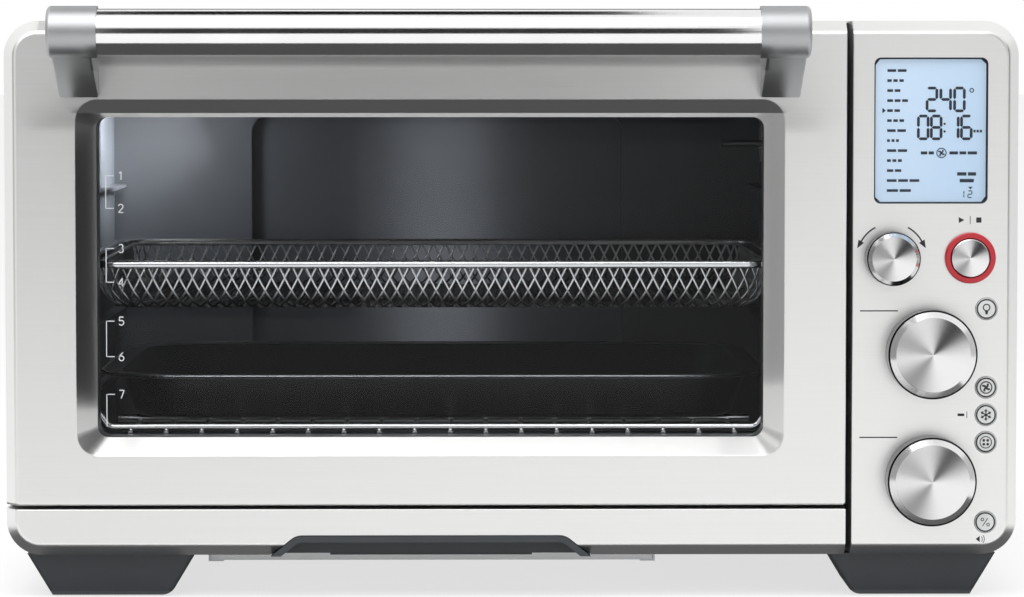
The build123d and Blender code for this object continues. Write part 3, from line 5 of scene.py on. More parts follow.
import bpy
import numpy as np
from bpy.props import FloatProperty, FloatVectorProperty, IntProperty, PointerProperty, StringProperty
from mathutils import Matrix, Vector


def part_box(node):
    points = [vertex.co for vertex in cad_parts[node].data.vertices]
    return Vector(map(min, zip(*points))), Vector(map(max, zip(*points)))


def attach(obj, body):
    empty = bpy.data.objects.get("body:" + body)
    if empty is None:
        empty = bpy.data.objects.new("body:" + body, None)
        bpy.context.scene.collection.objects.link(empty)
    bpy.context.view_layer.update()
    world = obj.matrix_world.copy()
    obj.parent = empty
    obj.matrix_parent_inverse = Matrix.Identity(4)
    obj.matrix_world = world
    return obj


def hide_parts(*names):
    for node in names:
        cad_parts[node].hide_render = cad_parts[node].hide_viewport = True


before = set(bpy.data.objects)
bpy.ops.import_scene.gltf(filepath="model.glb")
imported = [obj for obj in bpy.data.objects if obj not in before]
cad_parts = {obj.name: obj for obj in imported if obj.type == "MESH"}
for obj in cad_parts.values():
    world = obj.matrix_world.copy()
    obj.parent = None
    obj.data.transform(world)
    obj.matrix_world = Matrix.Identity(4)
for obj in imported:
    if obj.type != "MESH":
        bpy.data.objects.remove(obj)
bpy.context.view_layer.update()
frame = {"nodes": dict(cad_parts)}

bl_info = {
    "name": "Countertop Oven Looks",
    "version": (1, 0, 0),
    "blender": (4, 5, 0),
    "location": "3D View > Sidebar > Oven",
    "description": "Finishes, wire basket, display, printed marks and studio for a countertop oven",
    "category": "Object",
}

MM = 0.001
# behind SKIRT a dial's wall is painted dark, a painted shade
SKIRT = 2.3  # mm from a dial's face back to its dark edge and wall
LENS_LIP = 2.2  # mm of the display lens behind the fascia, on each side
SCREEN_GAP, SCREEN_DEEP = 0.9, 0.25  # mm from the lens opening in to the lit screen, and the screen's thickness
SEGMENT_DEEP, PRINT_DEEP, KEY_PRINT_DEEP = 0.12, 0.08, 0.06  # mm that marks stand proud
DIGIT = (5.2, 12.2, 1.5)  # mm: width, height and pen of a large display digit
SMALL_DIGIT = (2.1, 3.6, 0.5)
KEYS = ("lamp", "fan", "frozen", "more", "unit")

CARDS = (  # name, corner, way across, way up, grey level, clear from its back
    ("bar_flag", (-0.255, -0.6, 0.25), (0.405, 0, 0), (0, 0, 0.183), 0.035, False),
    ("far_flag", (-1.7, -2.6, 0.002), (1.55, 0, 0), (0, 0, 1.1), 0.36, False),
    ("low_flag", (-0.15, -2.6, 0.2), (0.87, 0, 0), (0, 0, 0.3), 0.55, False),
    ("dial_flag", (0.72, -2.4, 0.38), (0.85, 0, 0), (0, 0, 1.2), 0.02, False),
    ("grip_flag", (-0.2225, -0.226, 0.285), (0.358, 0, 0), (0, 0.048, 0), 0.085, True),
    ("left_grip_flag", (-0.262, -0.235, 0.25), (0.0395, 0, 0), (0, 0.046, 0), 0.12, True),
    ("right_grip_flag", (0.1355, -0.235, 0.25), (0.0325, 0, 0), (0, 0.046, 0), 0.2, True),
    ("sill_flag", (-0.236, -0.185, 0.262), (0.383, 0, 0), (0, 0.0305, 0), 0.09, True),
    ("jamb_flag", (-0.2, -0.157, 0.1), (0, -0.093, 0), (0, 0, 0.158), 0.02, True),
    ("post_flag", (0.11, -0.25, 0.112), (0, 0.093, 0), (0, 0, 0.145), 0.33, True),
    ("under_flag", (-0.36, -0.185, 0.003), (0.72, 0, 0), (0, 0.47, 0), 0.12, False),
    ("right_flag", (1.6, -1.35, 0.0), (0, 0.9, 0), (0, 0, 0.9), 0.02, False),
    ("edge_flag", (1.6, -0.45, 0.0), (0, 1.0, 0), (0, 0, 0.9), 0.62, False),
    ("left_flag", (-1.6, -1.4, 0.0), (0, 1.5, 0), (0, 0, 0.9), 0.4, False),
    ("back_flag", (-0.34, 0.34, 0.335), (0.58, 0, 0), (0, 0, 0.3), 0.01, False),
    ("roof_flag", (-0.36, -0.10, 1.5), (0.48, 0, 0), (0, 0.75, 0), 0.01, False),
)

LAMPS = (  # name, its power setting, place, target, width and height, spread in degrees, seen in mirrors
    ("key_lamp", "key", (-0.6, -1.5, 2.3), (0, 0, 0.15), (2.2, 2.2), 180, True),
    ("side_lamp", "side", (1.7, -1.2, 1.6), (0.1, 0, 0.15), (1.0, 1.0), 180, False),
    ("oven_lamp", "inner", (-0.215, 0.1, 0.262), (-0.238, 0.184, 0.245), (0.05, 0.05), 180, False),
    ("oven_wall", "wall", (-0.187, 0.125, 0.258), (-0.2351, 0.13, 0.235), (0.11, 0.05), 70, False),
    ("oven_band", "band", (-0.041, 0.1655, 0.175), (-0.041, 0.19, 0.175), (0.05, 0.2), 180, False),
    ("oven_strip", "strip", (-0.044, -0.144, 0.264), (-0.044, -0.131, 0.15), (0.36, 0.01), 70, True),
)


def tone(red, green, blue):
    """A colour written in 0 to 255 display values, turned into linear light."""
    part = np.array([red, green, blue], float) / 255
    line = np.where(part <= 0.04045, part / 12.92, ((part + 0.055) / 1.055) ** 2.4)
    return tuple(float(v) for v in line)


def share(colour, part):
    """A colour made darker or lighter, at most white."""
    return tuple(min(1.0, part * c) for c in colour)


class Flow:
    """A node's output that takes part in Python arithmetic; each operation adds one Math node."""

    def __init__(self, finish, socket):
        self.finish = finish
        self.socket = socket

    def maths(self, operation, *values):
        return self.finish.node("ShaderNodeMath", {"operation": operation}, dict(enumerate(values)))

    def __add__(self, other):
        return self.maths("ADD", self, other)

    __radd__ = __add__

    def __sub__(self, other):
        return self.maths("SUBTRACT", self, other)

    def __rsub__(self, other):
        return self.maths("SUBTRACT", other, self)

    def __mul__(self, other):
        return self.maths("MULTIPLY", self, other)

    __rmul__ = __mul__

    def __truediv__(self, other):
        return self.maths("DIVIDE", self, other)

    def __rtruediv__(self, other):
        return self.maths("DIVIDE", other, self)

    def __pow__(self, other):
        return self.maths("POWER", self, other)

    def __gt__(self, other):
        return self.maths("GREATER_THAN", self, other)

    def __lt__(self, other):
        return self.maths("LESS_THAN", self, other)


class Finish:
    """One procedural material or world, built from node() calls and Flow arithmetic."""

    def __init__(self, name, store=None):
        self.material = (bpy.data.materials if store is None else store).new(name)
        self.material.use_nodes = True
        self.tree = self.material.node_tree
        self.tree.nodes.clear()

    def node(self, kind, settings=None, sockets=None, output=0):
        """Adds a node: its settings first, then the values or links of its sockets, by name or number."""
        made = self.tree.nodes.new(kind)
        for key, value in (settings or {}).items():
            if key == "stops":
                ramp = made.color_ramp
                while len(ramp.elements) < len(value):
                    ramp.elements.new(0.5)
                for stop, (place, colour) in zip(ramp.elements, value):
                    stop.position = place
                    stop.color = (*colour, 1)
            else:
                setattr(made, key, value)
        for key, value in (sockets or {}).items():
            socket = made.inputs[key]
            if isinstance(value, Flow):
                self.tree.links.new(value.socket, socket)
            elif socket.type == "RGBA" and len(value) == 3:
                socket.default_value = (*value, 1)
            else:
                socket.default_value = value
        return Flow(self, made.outputs[output])

    def place(self):
        """The piece's own coordinates, in metres."""
        return self.node("ShaderNodeTexCoord", output="Object")

    def stretched(self, scale, centre=(0, 0, 0)):
        """Coordinates about a centre, multiplied along each axis."""
        moved = self.node("ShaderNodeVectorMath", {"operation": "SUBTRACT"}, {0: self.place(), 1: centre})
        return self.node("ShaderNodeVectorMath", {"operation": "MULTIPLY"}, {0: moved, 1: scale})

    def noise(self, scale, detail=2.0):
        """Soft noise from 0 to 1 with a feature size of one over scale, by axis."""
        scale = scale if isinstance(scale, tuple) else (scale, scale, scale)
        return self.node("ShaderNodeTexNoise", None,
                         {"Vector": self.stretched(scale), "Scale": 1.0, "Detail": detail})

    def axes(self, vector):
        """The three parts of a vector."""
        first = self.node("ShaderNodeSeparateXYZ", None, {0: vector})
        return [Flow(self, first.socket.node.outputs[i]) for i in range(3)]

    def blend(self, factor, low, high):
        """A colour between two, by a factor from 0 to 1."""
        settings = {"data_type": "RGBA", "clamp_factor": True}
        return self.node("ShaderNodeMix", settings, {0: factor, 6: (*low, 1) if isinstance(low, tuple) else low,
                         7: (*high, 1) if isinstance(high, tuple) else high}, output=2)

    def bump(self, height, strength, distance):
        """A normal from a height."""
        return self.node("ShaderNodeBump", None, {"Height": height, "Strength": strength, "Distance": distance})

    def surface(self, **sockets):
        """The principled shader as the material's surface; names use underscores for spaces."""
        values = {key.replace("_", " "): value for key, value in sockets.items()}
        shader = self.node("ShaderNodeBsdfPrincipled", None, values)
        return self.end(shader)

    def end(self, shader, kind="ShaderNodeOutputMaterial"):
        """Sends a shader to the output."""
        out = self.tree.nodes.new(kind)
        self.tree.links.new(shader.socket, out.inputs["Surface"])
        return self.material

    def seen(self):
        """One for a ray from the camera, a mirror or glass, else nought."""
        path = self.node("ShaderNodeLightPath", output="Is Camera Ray")
        others = [Flow(self, path.socket.node.outputs[name]) for name in ("Is Glossy Ray", "Is Transmission Ray")]
        return path.maths("MAXIMUM", path, others[0].maths("MAXIMUM", *others))


def brushed(name, colour, run, rough=0.34):
    """Brushed sheet steel: streaks that are long along run and fine across it, in colour, gloss and bump."""
    look = Finish(name)
    coarse = tuple(5.0 if axis == run else 900.0 for axis in "xyz")
    fine = tuple(22.0 if axis == run else 3000.0 for axis in "xyz")
    streak = look.noise(coarse, 3.0)
    hair = look.noise(fine, 1.0)
    cloud = look.noise(9.0, 2.0)
    mix = streak * 0.5 + hair * 0.5
    shade = look.blend(mix, share(colour, 0.95), share(colour, 1.04))
    gloss = rough - 0.04 + 0.05 * mix + 0.03 * cloud
    return look.surface(Base_Color=shade, Metallic=1.0, Roughness=gloss, Normal=look.bump(hair, 0.1, 0.0001))


def plain_metal(name, colour, rough, grain=900.0, lift=0.08, shade_span=None):
    """Rolled or cast metal with a fine even grain and slow changes of gloss; fade gives two heights between
    which its colour goes from a painted shade, darker towards the bottom, to bright."""
    look = Finish(name)
    fine = look.noise(grain, 2.0)
    cloud = look.noise(28.0, 3.0)
    shade = look.blend(cloud, share(colour, 0.9), share(colour, 1.06))
    if shade_span:
        # painted shade: darker towards the bottom between the two heights
        height = look.axes(look.place())[2]
        shade = look.blend((height - shade_span[0]) / (shade_span[1] - shade_span[0]), share(colour, 0.16), shade)
    gloss = rough - 0.05 + 0.06 * fine + 0.05 * cloud
    return look.surface(Base_Color=shade, Metallic=1.0, Roughness=gloss, Normal=look.bump(fine, lift, 0.0001))


def moulded(name, colour, rough, grain=1500.0, lift=0.25, coat=0.0):
    """Moulded plastic, rubber or enamel: an even colour with a faint mottle and a fine pebble grain."""
    look = Finish(name)
    fine = look.noise(grain, 2.0)
    cloud = look.noise(60.0, 3.0)
    shade = look.blend(cloud, share(colour, 0.88), share(colour, 1.12))
    gloss = rough - 0.04 + 0.06 * fine + 0.04 * cloud
    return look.surface(Base_Color=shade, Roughness=gloss, Coat_Weight=coat, Normal=look.bump(fine, lift, 0.0001))


def turned(name, colour, centre, front, skirt, rough=0.2, slope=0.16):
    """Turned aluminium about an axis along y through centre: a face that falls off by slope from its middle, as
    a spun dial's does, with the fine rings of the lathe and, before front, two dark fans painted as the reflection
    of its grain; behind skirt it is painted dark, a painted shade on its wall."""
    look = Finish(name)
    x, y, z = look.axes(look.stretched((1, 1, 1), centre))
    radius = (x * x + z * z) ** 0.5
    ring = look.node("ShaderNodeTexNoise", {"noise_dimensions": "1D"}, {"W": radius, "Scale": 2600.0, "Detail": 2.0})
    # painted reflection: along and fan give two dark fans across the face, in place of the turned grain's reflection
    along = (0.63 * x + 0.777 * z) / (radius + 0.0001)
    fan = (along * along) ** 3.0 * (y < front)
    bright = look.blend(ring, share(colour, 0.93), share(colour, 1.03))
    face = look.blend(fan, bright, share(colour, 0.34))
    # painted shade: behind skirt the wall is dark
    shade = look.blend((y > skirt) * 1.0, face, tone(34, 35, 37))
    gloss = rough - 0.03 + 0.06 * ring
    normal = look.bump(0.00003 * ring - radius, 1.0, slope)
    return look.surface(Base_Color=shade, Metallic=1.0, Roughness=gloss, Normal=normal)


def clear_sheet(name, film, ior, part, rough, smear, scale):
    """Clear glass or plastic: light passes through a tinted film, and a part of the face's reflection shows, with
    a faint smear."""
    look = Finish(name)
    cloud = look.noise(scale, 2.0)
    through = look.node("ShaderNodeBsdfTransparent", None, {"Color": film})
    gloss = look.node("ShaderNodeBsdfGlossy", None, {"Color": (1.0, 1.0, 1.0), "Roughness": rough})
    edge = look.node("ShaderNodeFresnel", None, {"IOR": ior})
    return look.end(look.node("ShaderNodeMixShader", None, {0: edge * part + smear * cloud, 1: through, 2: gloss}))


def lit_panel(name, low, high, centre, size, power):
    """The lit display: a pale ground that is lighter towards its upper left, a painted glare, with a faint fine grid.
    """
    look = Finish(name)
    x, y, z = look.axes(look.stretched((1 / size[0], 1, 1 / size[1]), centre))
    # painted glare: lighter towards the upper left
    slope = 0.5 - 0.45 * x + 0.25 * z
    grain = look.noise(900.0, 1.0)
    shade = look.blend(slope + 0.05 * grain, low, high)
    return look.surface(Base_Color=shade, Roughness=0.35, Emission_Color=shade, Emission_Strength=power)


def grid_mesh(points, closed=False):
    """Vertices and faces of a tube given on a grid of points, each row one ring of it. A closed tube joins its last
    ring to its first; an open one gets a flat cap at each end."""
    rows, columns = points.shape[:2]
    index = np.arange(rows * columns).reshape(rows, columns)
    here, there = (index, np.roll(index, -1, 0)) if closed else (index[:-1], index[1:])
    right = np.roll(np.arange(columns), -1)
    faces = np.stack([here, here[:, right], there[:, right], there], -1).reshape(-1, 4).tolist()
    if not closed:
        faces += [index[0, ::-1].tolist(), index[-1].tolist()]
    return points.reshape(-1, 3), faces


def join(parts):
    """Many small meshes as one list of vertices and faces."""
    count = np.cumsum([0] + [len(p[0]) for p in parts])
    vertices = np.concatenate([p[0] for p in parts])
    faces = [[i + int(start) for i in face] for (_, fs), start in zip(parts, count) for face in fs]
    return vertices, faces


def piece(name, mesh, body, material, smooth=False):
    """A named piece at the origin, with its place in its mesh, that rides on a body."""
    vertices, faces = mesh
    data = bpy.data.meshes.new(name)
    data.from_pydata(vertices.tolist(), [], faces)
    data.validate()
    data.update()
    work = bpy.data.objects.new(name, data)
    bpy.context.scene.collection.objects.link(work)
    data.materials.append(material)
    if smooth:
        data.shade_smooth()
    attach(work, body)
    return work


def dress(material, *nodes):
    """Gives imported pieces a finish."""
    for name in nodes:
        slots = frame["nodes"][name].data.materials
        slots.clear()
        slots.append(material)


def stroke(path, width, face, deep, closed=False):
    """A flat bar of rectangular section carried along a path of (x, z) points in millimetres.
    Its sides are the path moved half a width along the path's normal; it stands deep proud of the plane y = face."""
    path = np.asarray(path, float)
    step = np.roll(path, -1, 0) - np.roll(path, 1, 0) if closed else np.gradient(path, axis=0)
    step /= np.linalg.norm(step, axis=1, keepdims=True)
    side = np.stack([-step[:, 1], step[:, 0]], 1) * width / 2
    left, right = path + side, path - side
    level = np.full(len(path), face)
    rows = [np.stack([p[:, 0], y, p[:, 1]], 1) for p, y in
            ((left, level), (right, level), (right, level - deep), (left, level - deep))]
    return grid_mesh(np.stack(rows, 1) * MM, closed)


def plate(outline, face, deep):
    """A flat prism on a convex outline of (x, z) points in millimetres, given counterclockwise."""
    outline = np.asarray(outline, float)
    count = len(outline)
    level = np.full(count, face)
    back = np.stack([outline[:, 0], level, outline[:, 1]], 1)
    front = back - np.array([0, deep, 0])
    ring = np.arange(count)
    turn = np.roll(ring, -1)
    sides = np.stack([ring + count, ring, turn, turn + count], 1).tolist()
    faces = [list(range(count, 2 * count)), list(range(count - 1, -1, -1))] + sides
    return np.concatenate([back, front]) * MM, faces


def arc(x, z, radius, start, end, count=24):
    """Points of an arc about (x, z), by angle in degrees from +x towards +z."""
    angle = np.radians(np.linspace(start, end, count))
    return np.stack([x + radius * np.cos(angle), z + radius * np.sin(angle)], 1)


def circle(x, z, radius, count=40):
    """Points of a whole circle, without a doubled end."""
    return arc(x, z, radius, 0, 360 - 360 / count, count)


def line(*points):
    """A short run of points, each leg cut in four so that corners keep their width."""
    points = np.asarray(points, float)
    steps = np.linspace(0, 1, 5)[:-1, None]
    legs = [a + (b - a) * steps for a, b in zip(points[:-1], points[1:])]
    return np.concatenate(legs + [points[-1:]])


def paint(name, text, value):
    """A colour setting."""
    return FloatVectorProperty(name=name, description=text, subtype="COLOR", default=value, min=0, max=1)


def measure(name, text, value, least, most):
    """A length setting, in metres."""
    return FloatProperty(name=name, description=text, unit="LENGTH", default=value, min=least, max=most)


def part_of(name, text, value):
    """A setting from nought to one."""
    return FloatProperty(name=name, description=text, subtype="FACTOR", default=value, min=0, max=1)


def power(name, text, value):
    """A lamp's power setting, in watts."""
    return FloatProperty(name=name, description=text, unit="POWER", default=value, min=0)


class FinishSettings(bpy.types.PropertyGroup):
    """Colours of the oven's finishes."""

    steel: paint("Steel", "Brushed steel of the door, fascia and cover", tone(239, 239, 238))
    bright: paint("Polished steel", "Handle bar and bright wire", tone(240, 240, 240))
    cast: paint("Brackets", "Cast handle brackets", tone(182, 183, 185))
    turned: paint("Dials", "Turned aluminium of the dials and buttons", tone(233, 233, 233))
    charcoal: paint("Charcoal plastic", "Feet, tray pull and spacers", tone(58, 62, 66))
    cavity: paint("Oven lining", "Dark coating of the oven walls", tone(70, 73, 78))
    enamel: paint("Pan enamel", "Black enamel of the roasting pan", tone(15, 16, 18))
    glass: paint("Window tint", "Tint of the door glass", (0.985, 0.992, 1.0))
    clear: part_of("Window clearness", "Share of light that passes the door glass", 0.95)
    shine: part_of("Window shine", "Share of plain glass's reflection that the door glass shows", 0.14)
    ring: paint("Start ring", "Red ring round the start button", tone(184, 28, 42))
    print: paint("Print", "Dark print on the fascia and buttons", tone(34, 36, 40))
    white_print: paint("Glass print", "Pale shelf marks on the door glass", tone(222, 226, 230))


class DisplaySettings(bpy.types.PropertyGroup):
    """The display's numbers and colours."""

    low: paint("Ground", "Display ground at its lower right", tone(182, 206, 228))
    # the lighter ground at the upper left is a painted glare
    high: paint("Light ground", "Display ground at its upper left", tone(212, 229, 245))
    frame: paint("Frame", "Dark edge round the display", tone(66, 76, 88))
    segments: paint("Segments", "Dark display segments", tone(30, 42, 58))
    power: FloatProperty(name="Backlight", description="Strength of the display's own light",
                         default=0.17, min=0, max=2)
    upper: StringProperty(name="Upper number", description="Digits of the upper line", default="240")
    lower: StringProperty(name="Lower number", description="Digits of the lower line, two and two", default="0816")
    rows: IntProperty(name="List rows", description="Bars in the list at the left", default=13, min=1, max=20)
    chosen: IntProperty(name="Chosen row", description="Row that the pointer stands at", default=4, min=0, max=19)


class BasketSettings(bpy.types.PropertyGroup):
    """The basket's diamond mesh."""

    across: measure("Diamond width", "Width of one diamond along the rim", 0.0072, 0.003, 0.03)
    tall: measure("Diamond height", "Height of one diamond down the wall", 0.015, 0.004, 0.05)
    strand: measure("Strand width", "Width of one strand", 0.0011, 0.0004, 0.003)
    thick: measure("Strand thickness", "Thickness of one strand", 0.0007, 0.0003, 0.003)
    soft: measure("Bottom curve", "Radius between wall and floor", 0.018, 0.002, 0.024)
    corner: measure("Corner curve", "Radius of the basket's corners from above", 0.021, 0.004, 0.06)
    inset: measure("Rim inset", "Flat rim between the frame wire and the wall", 0.0073, 0, 0.02)


class PanSettings(bpy.types.PropertyGroup):
    """The roasting pan's rolled rim."""

    bead: measure("Bead", "Radius of the rolled bead", 0.0011, 0.0004, 0.003)
    corner: measure("Corner", "Radius of the rim's corners from above", 0.055, 0.01, 0.1)
    colour: paint("Bead colour", "Bright steel of the bead", tone(196, 198, 201))


class StudioSettings(bpy.types.PropertyGroup):
    """Camera, floor and light."""

    distance: measure("Camera distance", "Camera to the front face", 2.2, 0.5, 6)
    eye: FloatVectorProperty(name="Eye", description="Camera place across and up", unit="LENGTH", size=2,
                             default=(-0.022, 0.2869))
    aim: FloatVectorProperty(name="Aim", description="Point of the front face at the picture's centre",
                             unit="LENGTH", size=2, default=(0.0, 0.1625))
    view: measure("View width", "Width of the front plane that the picture takes in", 0.5503, 0.1, 3)
    floor: paint("Floor", "Pale floor", (0.9, 0.9, 0.9))
    lift: part_of("Floor lift", "Share of plain white in a floor that is seen", 0.55)
    white: FloatProperty(name="Floor white", description="Strength of that plain white", default=1.26, min=0)
    key: power("Key lamp", "Power of the large lamp above", 34)
    side: power("Side lamp", "Power of the lamp at the right", 10)
    inner: power("Oven lamp", "Power of the small lamp in the oven", 0.2)
    wall: power("Oven wall lamp", "Power of the lamp on the oven's left wall", 0.19)
    band: power("Oven band", "Power of the lamp on the oven's back wall", 0.064)
    strip: power("Oven strip", "Power of the strip lamp behind the door glass", 0.55)
    world: FloatProperty(name="World", description="Strength of the even light all round", default=0.55, min=0)


class OvenSettings(bpy.types.PropertyGroup):
    """All settings of the oven's looks."""

    finish: PointerProperty(type=FinishSettings)
    display: PointerProperty(type=DisplaySettings)
    basket: PointerProperty(type=BasketSettings)
    pan: PointerProperty(type=PanSettings)
    studio: PointerProperty(type=StudioSettings)


def colour(value):
    """A colour property as a plain tuple."""
    return tuple(float(v) for v in value)


def middle(node):
    """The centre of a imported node's box."""
    low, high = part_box(node)
    return tuple((a + b) / 2 for a, b in zip(low, high))


def spot(node):
    """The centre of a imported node's box as seen from the front, across and up, in millimetres."""
    x, _, z = middle(node)
    return x / MM, z / MM


class OVEN_OT_casing(bpy.types.Operator):
    """Brushed steel, coated sheet and charcoal plastic for the casing"""

    bl_idname = "oven.casing"
    bl_label = "Finish the casing"

    def execute(self, context):
        look = context.scene.oven.finish
        steel = colour(look.steel)
        dress(brushed("brushed_cover", steel, "y", 0.3), "outer_cover")
        dress(brushed("brushed_trim", steel, "x"), "base_trim")
        dress(plain_metal("rolled_sheet", tone(176, 177, 178), 0.42), "base_pan", "rear_panel")
        # the front frame is dark so that the gaps in front of it read black: a painted shade in the gaps
        dress(moulded("dark_paint", tone(26, 27, 29), 0.6, 1200.0, 0.15), "front_frame")
        dress(plain_metal("screw_steel", tone(150, 150, 150), 0.35), "rear_screws")
        dress(moulded("charcoal_plastic", colour(look.charcoal), 0.46),
              "feet", "rear_spacers", "cord_gland", "crumb_tray_handle")
        dress(moulded("pad_rubber", tone(38, 38, 40), 0.8, 2400.0, 0.4), "foot_pads")
        dress(plain_metal("tray_sheet", tone(222, 223, 224), 0.36), "crumb_tray", "tray_runners")
        return {"FINISHED"}


class OVEN_OT_door(bpy.types.Operator):
    """Brushed skin, dark glass, liner, handle and hinges of the door"""

    bl_idname = "oven.door"
    bl_label = "Finish the door"

    def execute(self, context):
        look = context.scene.oven.finish
        dress(brushed("brushed_door", colour(look.steel), "x"), "door_skin")
        film = share(colour(look.glass), look.clear)
        dress(clear_sheet("window_glass", film, 1.5, look.shine, 0.02, 0.001, 14.0), "door_glass")
        dress(plain_metal("liner_steel", tone(150, 151, 152), 0.36), "door_liner")
        dress(plain_metal("polished_bar", colour(look.bright), 0.12, 1400.0, 0.02), "handle_bar")
        dress(plain_metal("satin_bracket", colour(look.cast), 0.44, 2200.0, 0.02), "handle_brackets")
        dress(plain_metal("hinge_steel", tone(160, 160, 160), 0.34),
              "hinge_brackets", "hinge_leaves", "hinge_pins", "hinge_springs", "handle_screws")
        return {"FINISHED"}


class OVEN_OT_controls(bpy.types.Operator):
    """Fascia, dials, buttons, lens and boards of the control column"""

    bl_idname = "oven.controls"
    bl_label = "Finish the controls"

    def execute(self, context):
        look = context.scene.oven.finish
        dress(brushed("brushed_fascia", colour(look.steel), "x"), "control_fascia")
        metal = colour(look.turned)
        for node in ("temperature_knob", "time_knob", "select_knob", "start_button"):
            low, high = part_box(node)
            front = (low[1] - high[1]) / 2
            # each dial gets painted dark fans on its face and a painted shade on its wall
            dress(turned("turned_" + node, metal, middle(node), front + 0.1 * MM, front + SKIRT * MM), node)
        dress(moulded("button_cap", tone(228, 229, 229), 0.34, 1800.0, 0.1), *(key + "_button" for key in KEYS))
        dress(moulded("red_ring", colour(look.ring), 0.3, 1600.0, 0.06, 0.3), "start_ring")
        dress(plain_metal("shaft_steel", tone(170, 170, 170), 0.3), "select_shaft", "temperature_shaft", "time_shaft")
        dress(moulded("carrier_plastic", tone(58, 60, 64), 0.5), "control_carrier")
        board = Finish("solder_board")
        spots = board.noise(420.0, 3.0)
        track = board.blend((spots > 0.56) * 1.0, tone(28, 84, 58), tone(52, 120, 82))
        dress(board.surface(Base_Color=track, Roughness=0.4 + 0.1 * spots), "control_board", "power_board")
        dress(clear_sheet("display_lens", (0.97, 0.985, 1.0), 1.45, 0.3, 0.04, 0.002, 30.0), "display_lens")
        return {"FINISHED"}


class OVEN_OT_oven(bpy.types.Operator):
    """Coated walls, elements, fan, lamp, rack and pan inside the oven"""

    bl_idname = "oven.oven"
    bl_label = "Finish the oven"

    def execute(self, context):
        look = context.scene.oven.finish
        coat = moulded("oven_lining", colour(look.cavity), 0.38, 700.0, 0.05)
        dress(coat, "cavity_roof", "cavity_back", "cavity_side_left", "cavity_side_right")
        dress(moulded("pan_enamel", colour(look.enamel), 0.37, 260.0, 0.01), "roasting_pan")
        wire = plain_metal("chrome_wire", colour(look.bright), 0.16, 1500.0, 0.02)
        dress(wire, "wire_rack", "basket_frame")
        dress(moulded("frosted_quartz", tone(214, 208, 200), 0.36, 900.0, 0.1), "heating_elements")
        dress(moulded("element_ceramic", tone(226, 222, 212), 0.6, 1200.0, 0.2), "element_caps")
        dress(plain_metal("fan_sheet", tone(150, 152, 154), 0.4), "convection_fan", "fan_housing", "fan_shaft")
        dress(plain_metal("motor_can", tone(120, 121, 124), 0.45), "fan_motor", "temperature_sensor", "lamp_holder")
        dress(moulded("lamp_glass", tone(224, 222, 214), 0.2, 500.0, 0.05, 0.3), "lamp_lens", "lamp_bulb")
        return {"FINISHED"}


def tube_of(lines, normals, width, thick):
    """Flat strands along many lines at once: lines and outward normals are (strand, step, 3) arrays.
    Each strand's section is width across the surface and thick along its normal."""
    along = np.gradient(lines, axis=1)
    along /= np.linalg.norm(along, axis=2, keepdims=True)
    across = np.cross(normals, along)
    across /= np.linalg.norm(across, axis=2, keepdims=True)
    a, n = across * width / 2, normals * thick / 2
    ring = np.stack([lines + a + n, lines - a + n, lines - a - n, lines + a - n], 2)
    count, steps = lines.shape[:2]
    index = np.arange(count * steps * 4).reshape(count, steps, 4)
    turn = [1, 2, 3, 0]
    sides = np.stack([index[:, :-1], index[:, 1:], index[:, 1:][..., turn], index[:, :-1][..., turn]], -1)
    caps = np.concatenate([index[:, 0], index[:, -1][:, ::-1]])
    return ring.reshape(-1, 3), np.concatenate([sides.reshape(-1, 4), caps]).tolist()


def rounded_edge(span, half_x, half_y, radius):
    """Points and outward directions along a rounded rectangle, by the share span of its length, from 0 to 1.
    The length runs along the front side, a quarter turn, the right side, and so on round."""
    straight = np.array([2 * (half_x - radius), 2 * (half_y - radius)] * 2)
    bend = math.pi / 2 * radius
    starts = np.concatenate([[0], np.cumsum(np.stack([straight, np.full(4, bend)], 1).ravel())])
    way = (np.asarray(span) % 1.0) * starts[-1]
    leg = np.clip(np.searchsorted(starts, way, side="right") - 1, 0, 7)
    side, on_bend = leg // 2, leg % 2
    here = way - starts[leg]
    turn = side * math.pi / 2 + on_bend * here / radius
    forward = np.stack([np.cos(turn), np.sin(turn)], -1)
    outward = np.stack([np.sin(turn), -np.cos(turn)], -1)
    corner_x = np.array([half_x, half_x, -half_x, -half_x]) - radius * np.array([1, 1, -1, -1])
    corner_y = np.array([-half_y, half_y, half_y, -half_y]) + radius * np.array([1, -1, -1, 1])
    centre = np.stack([corner_x[side], corner_y[side]], -1)
    back = np.where(on_bend == 1, 0.0, straight[side] - here)
    return centre + outward * radius - forward * back[..., None], outward


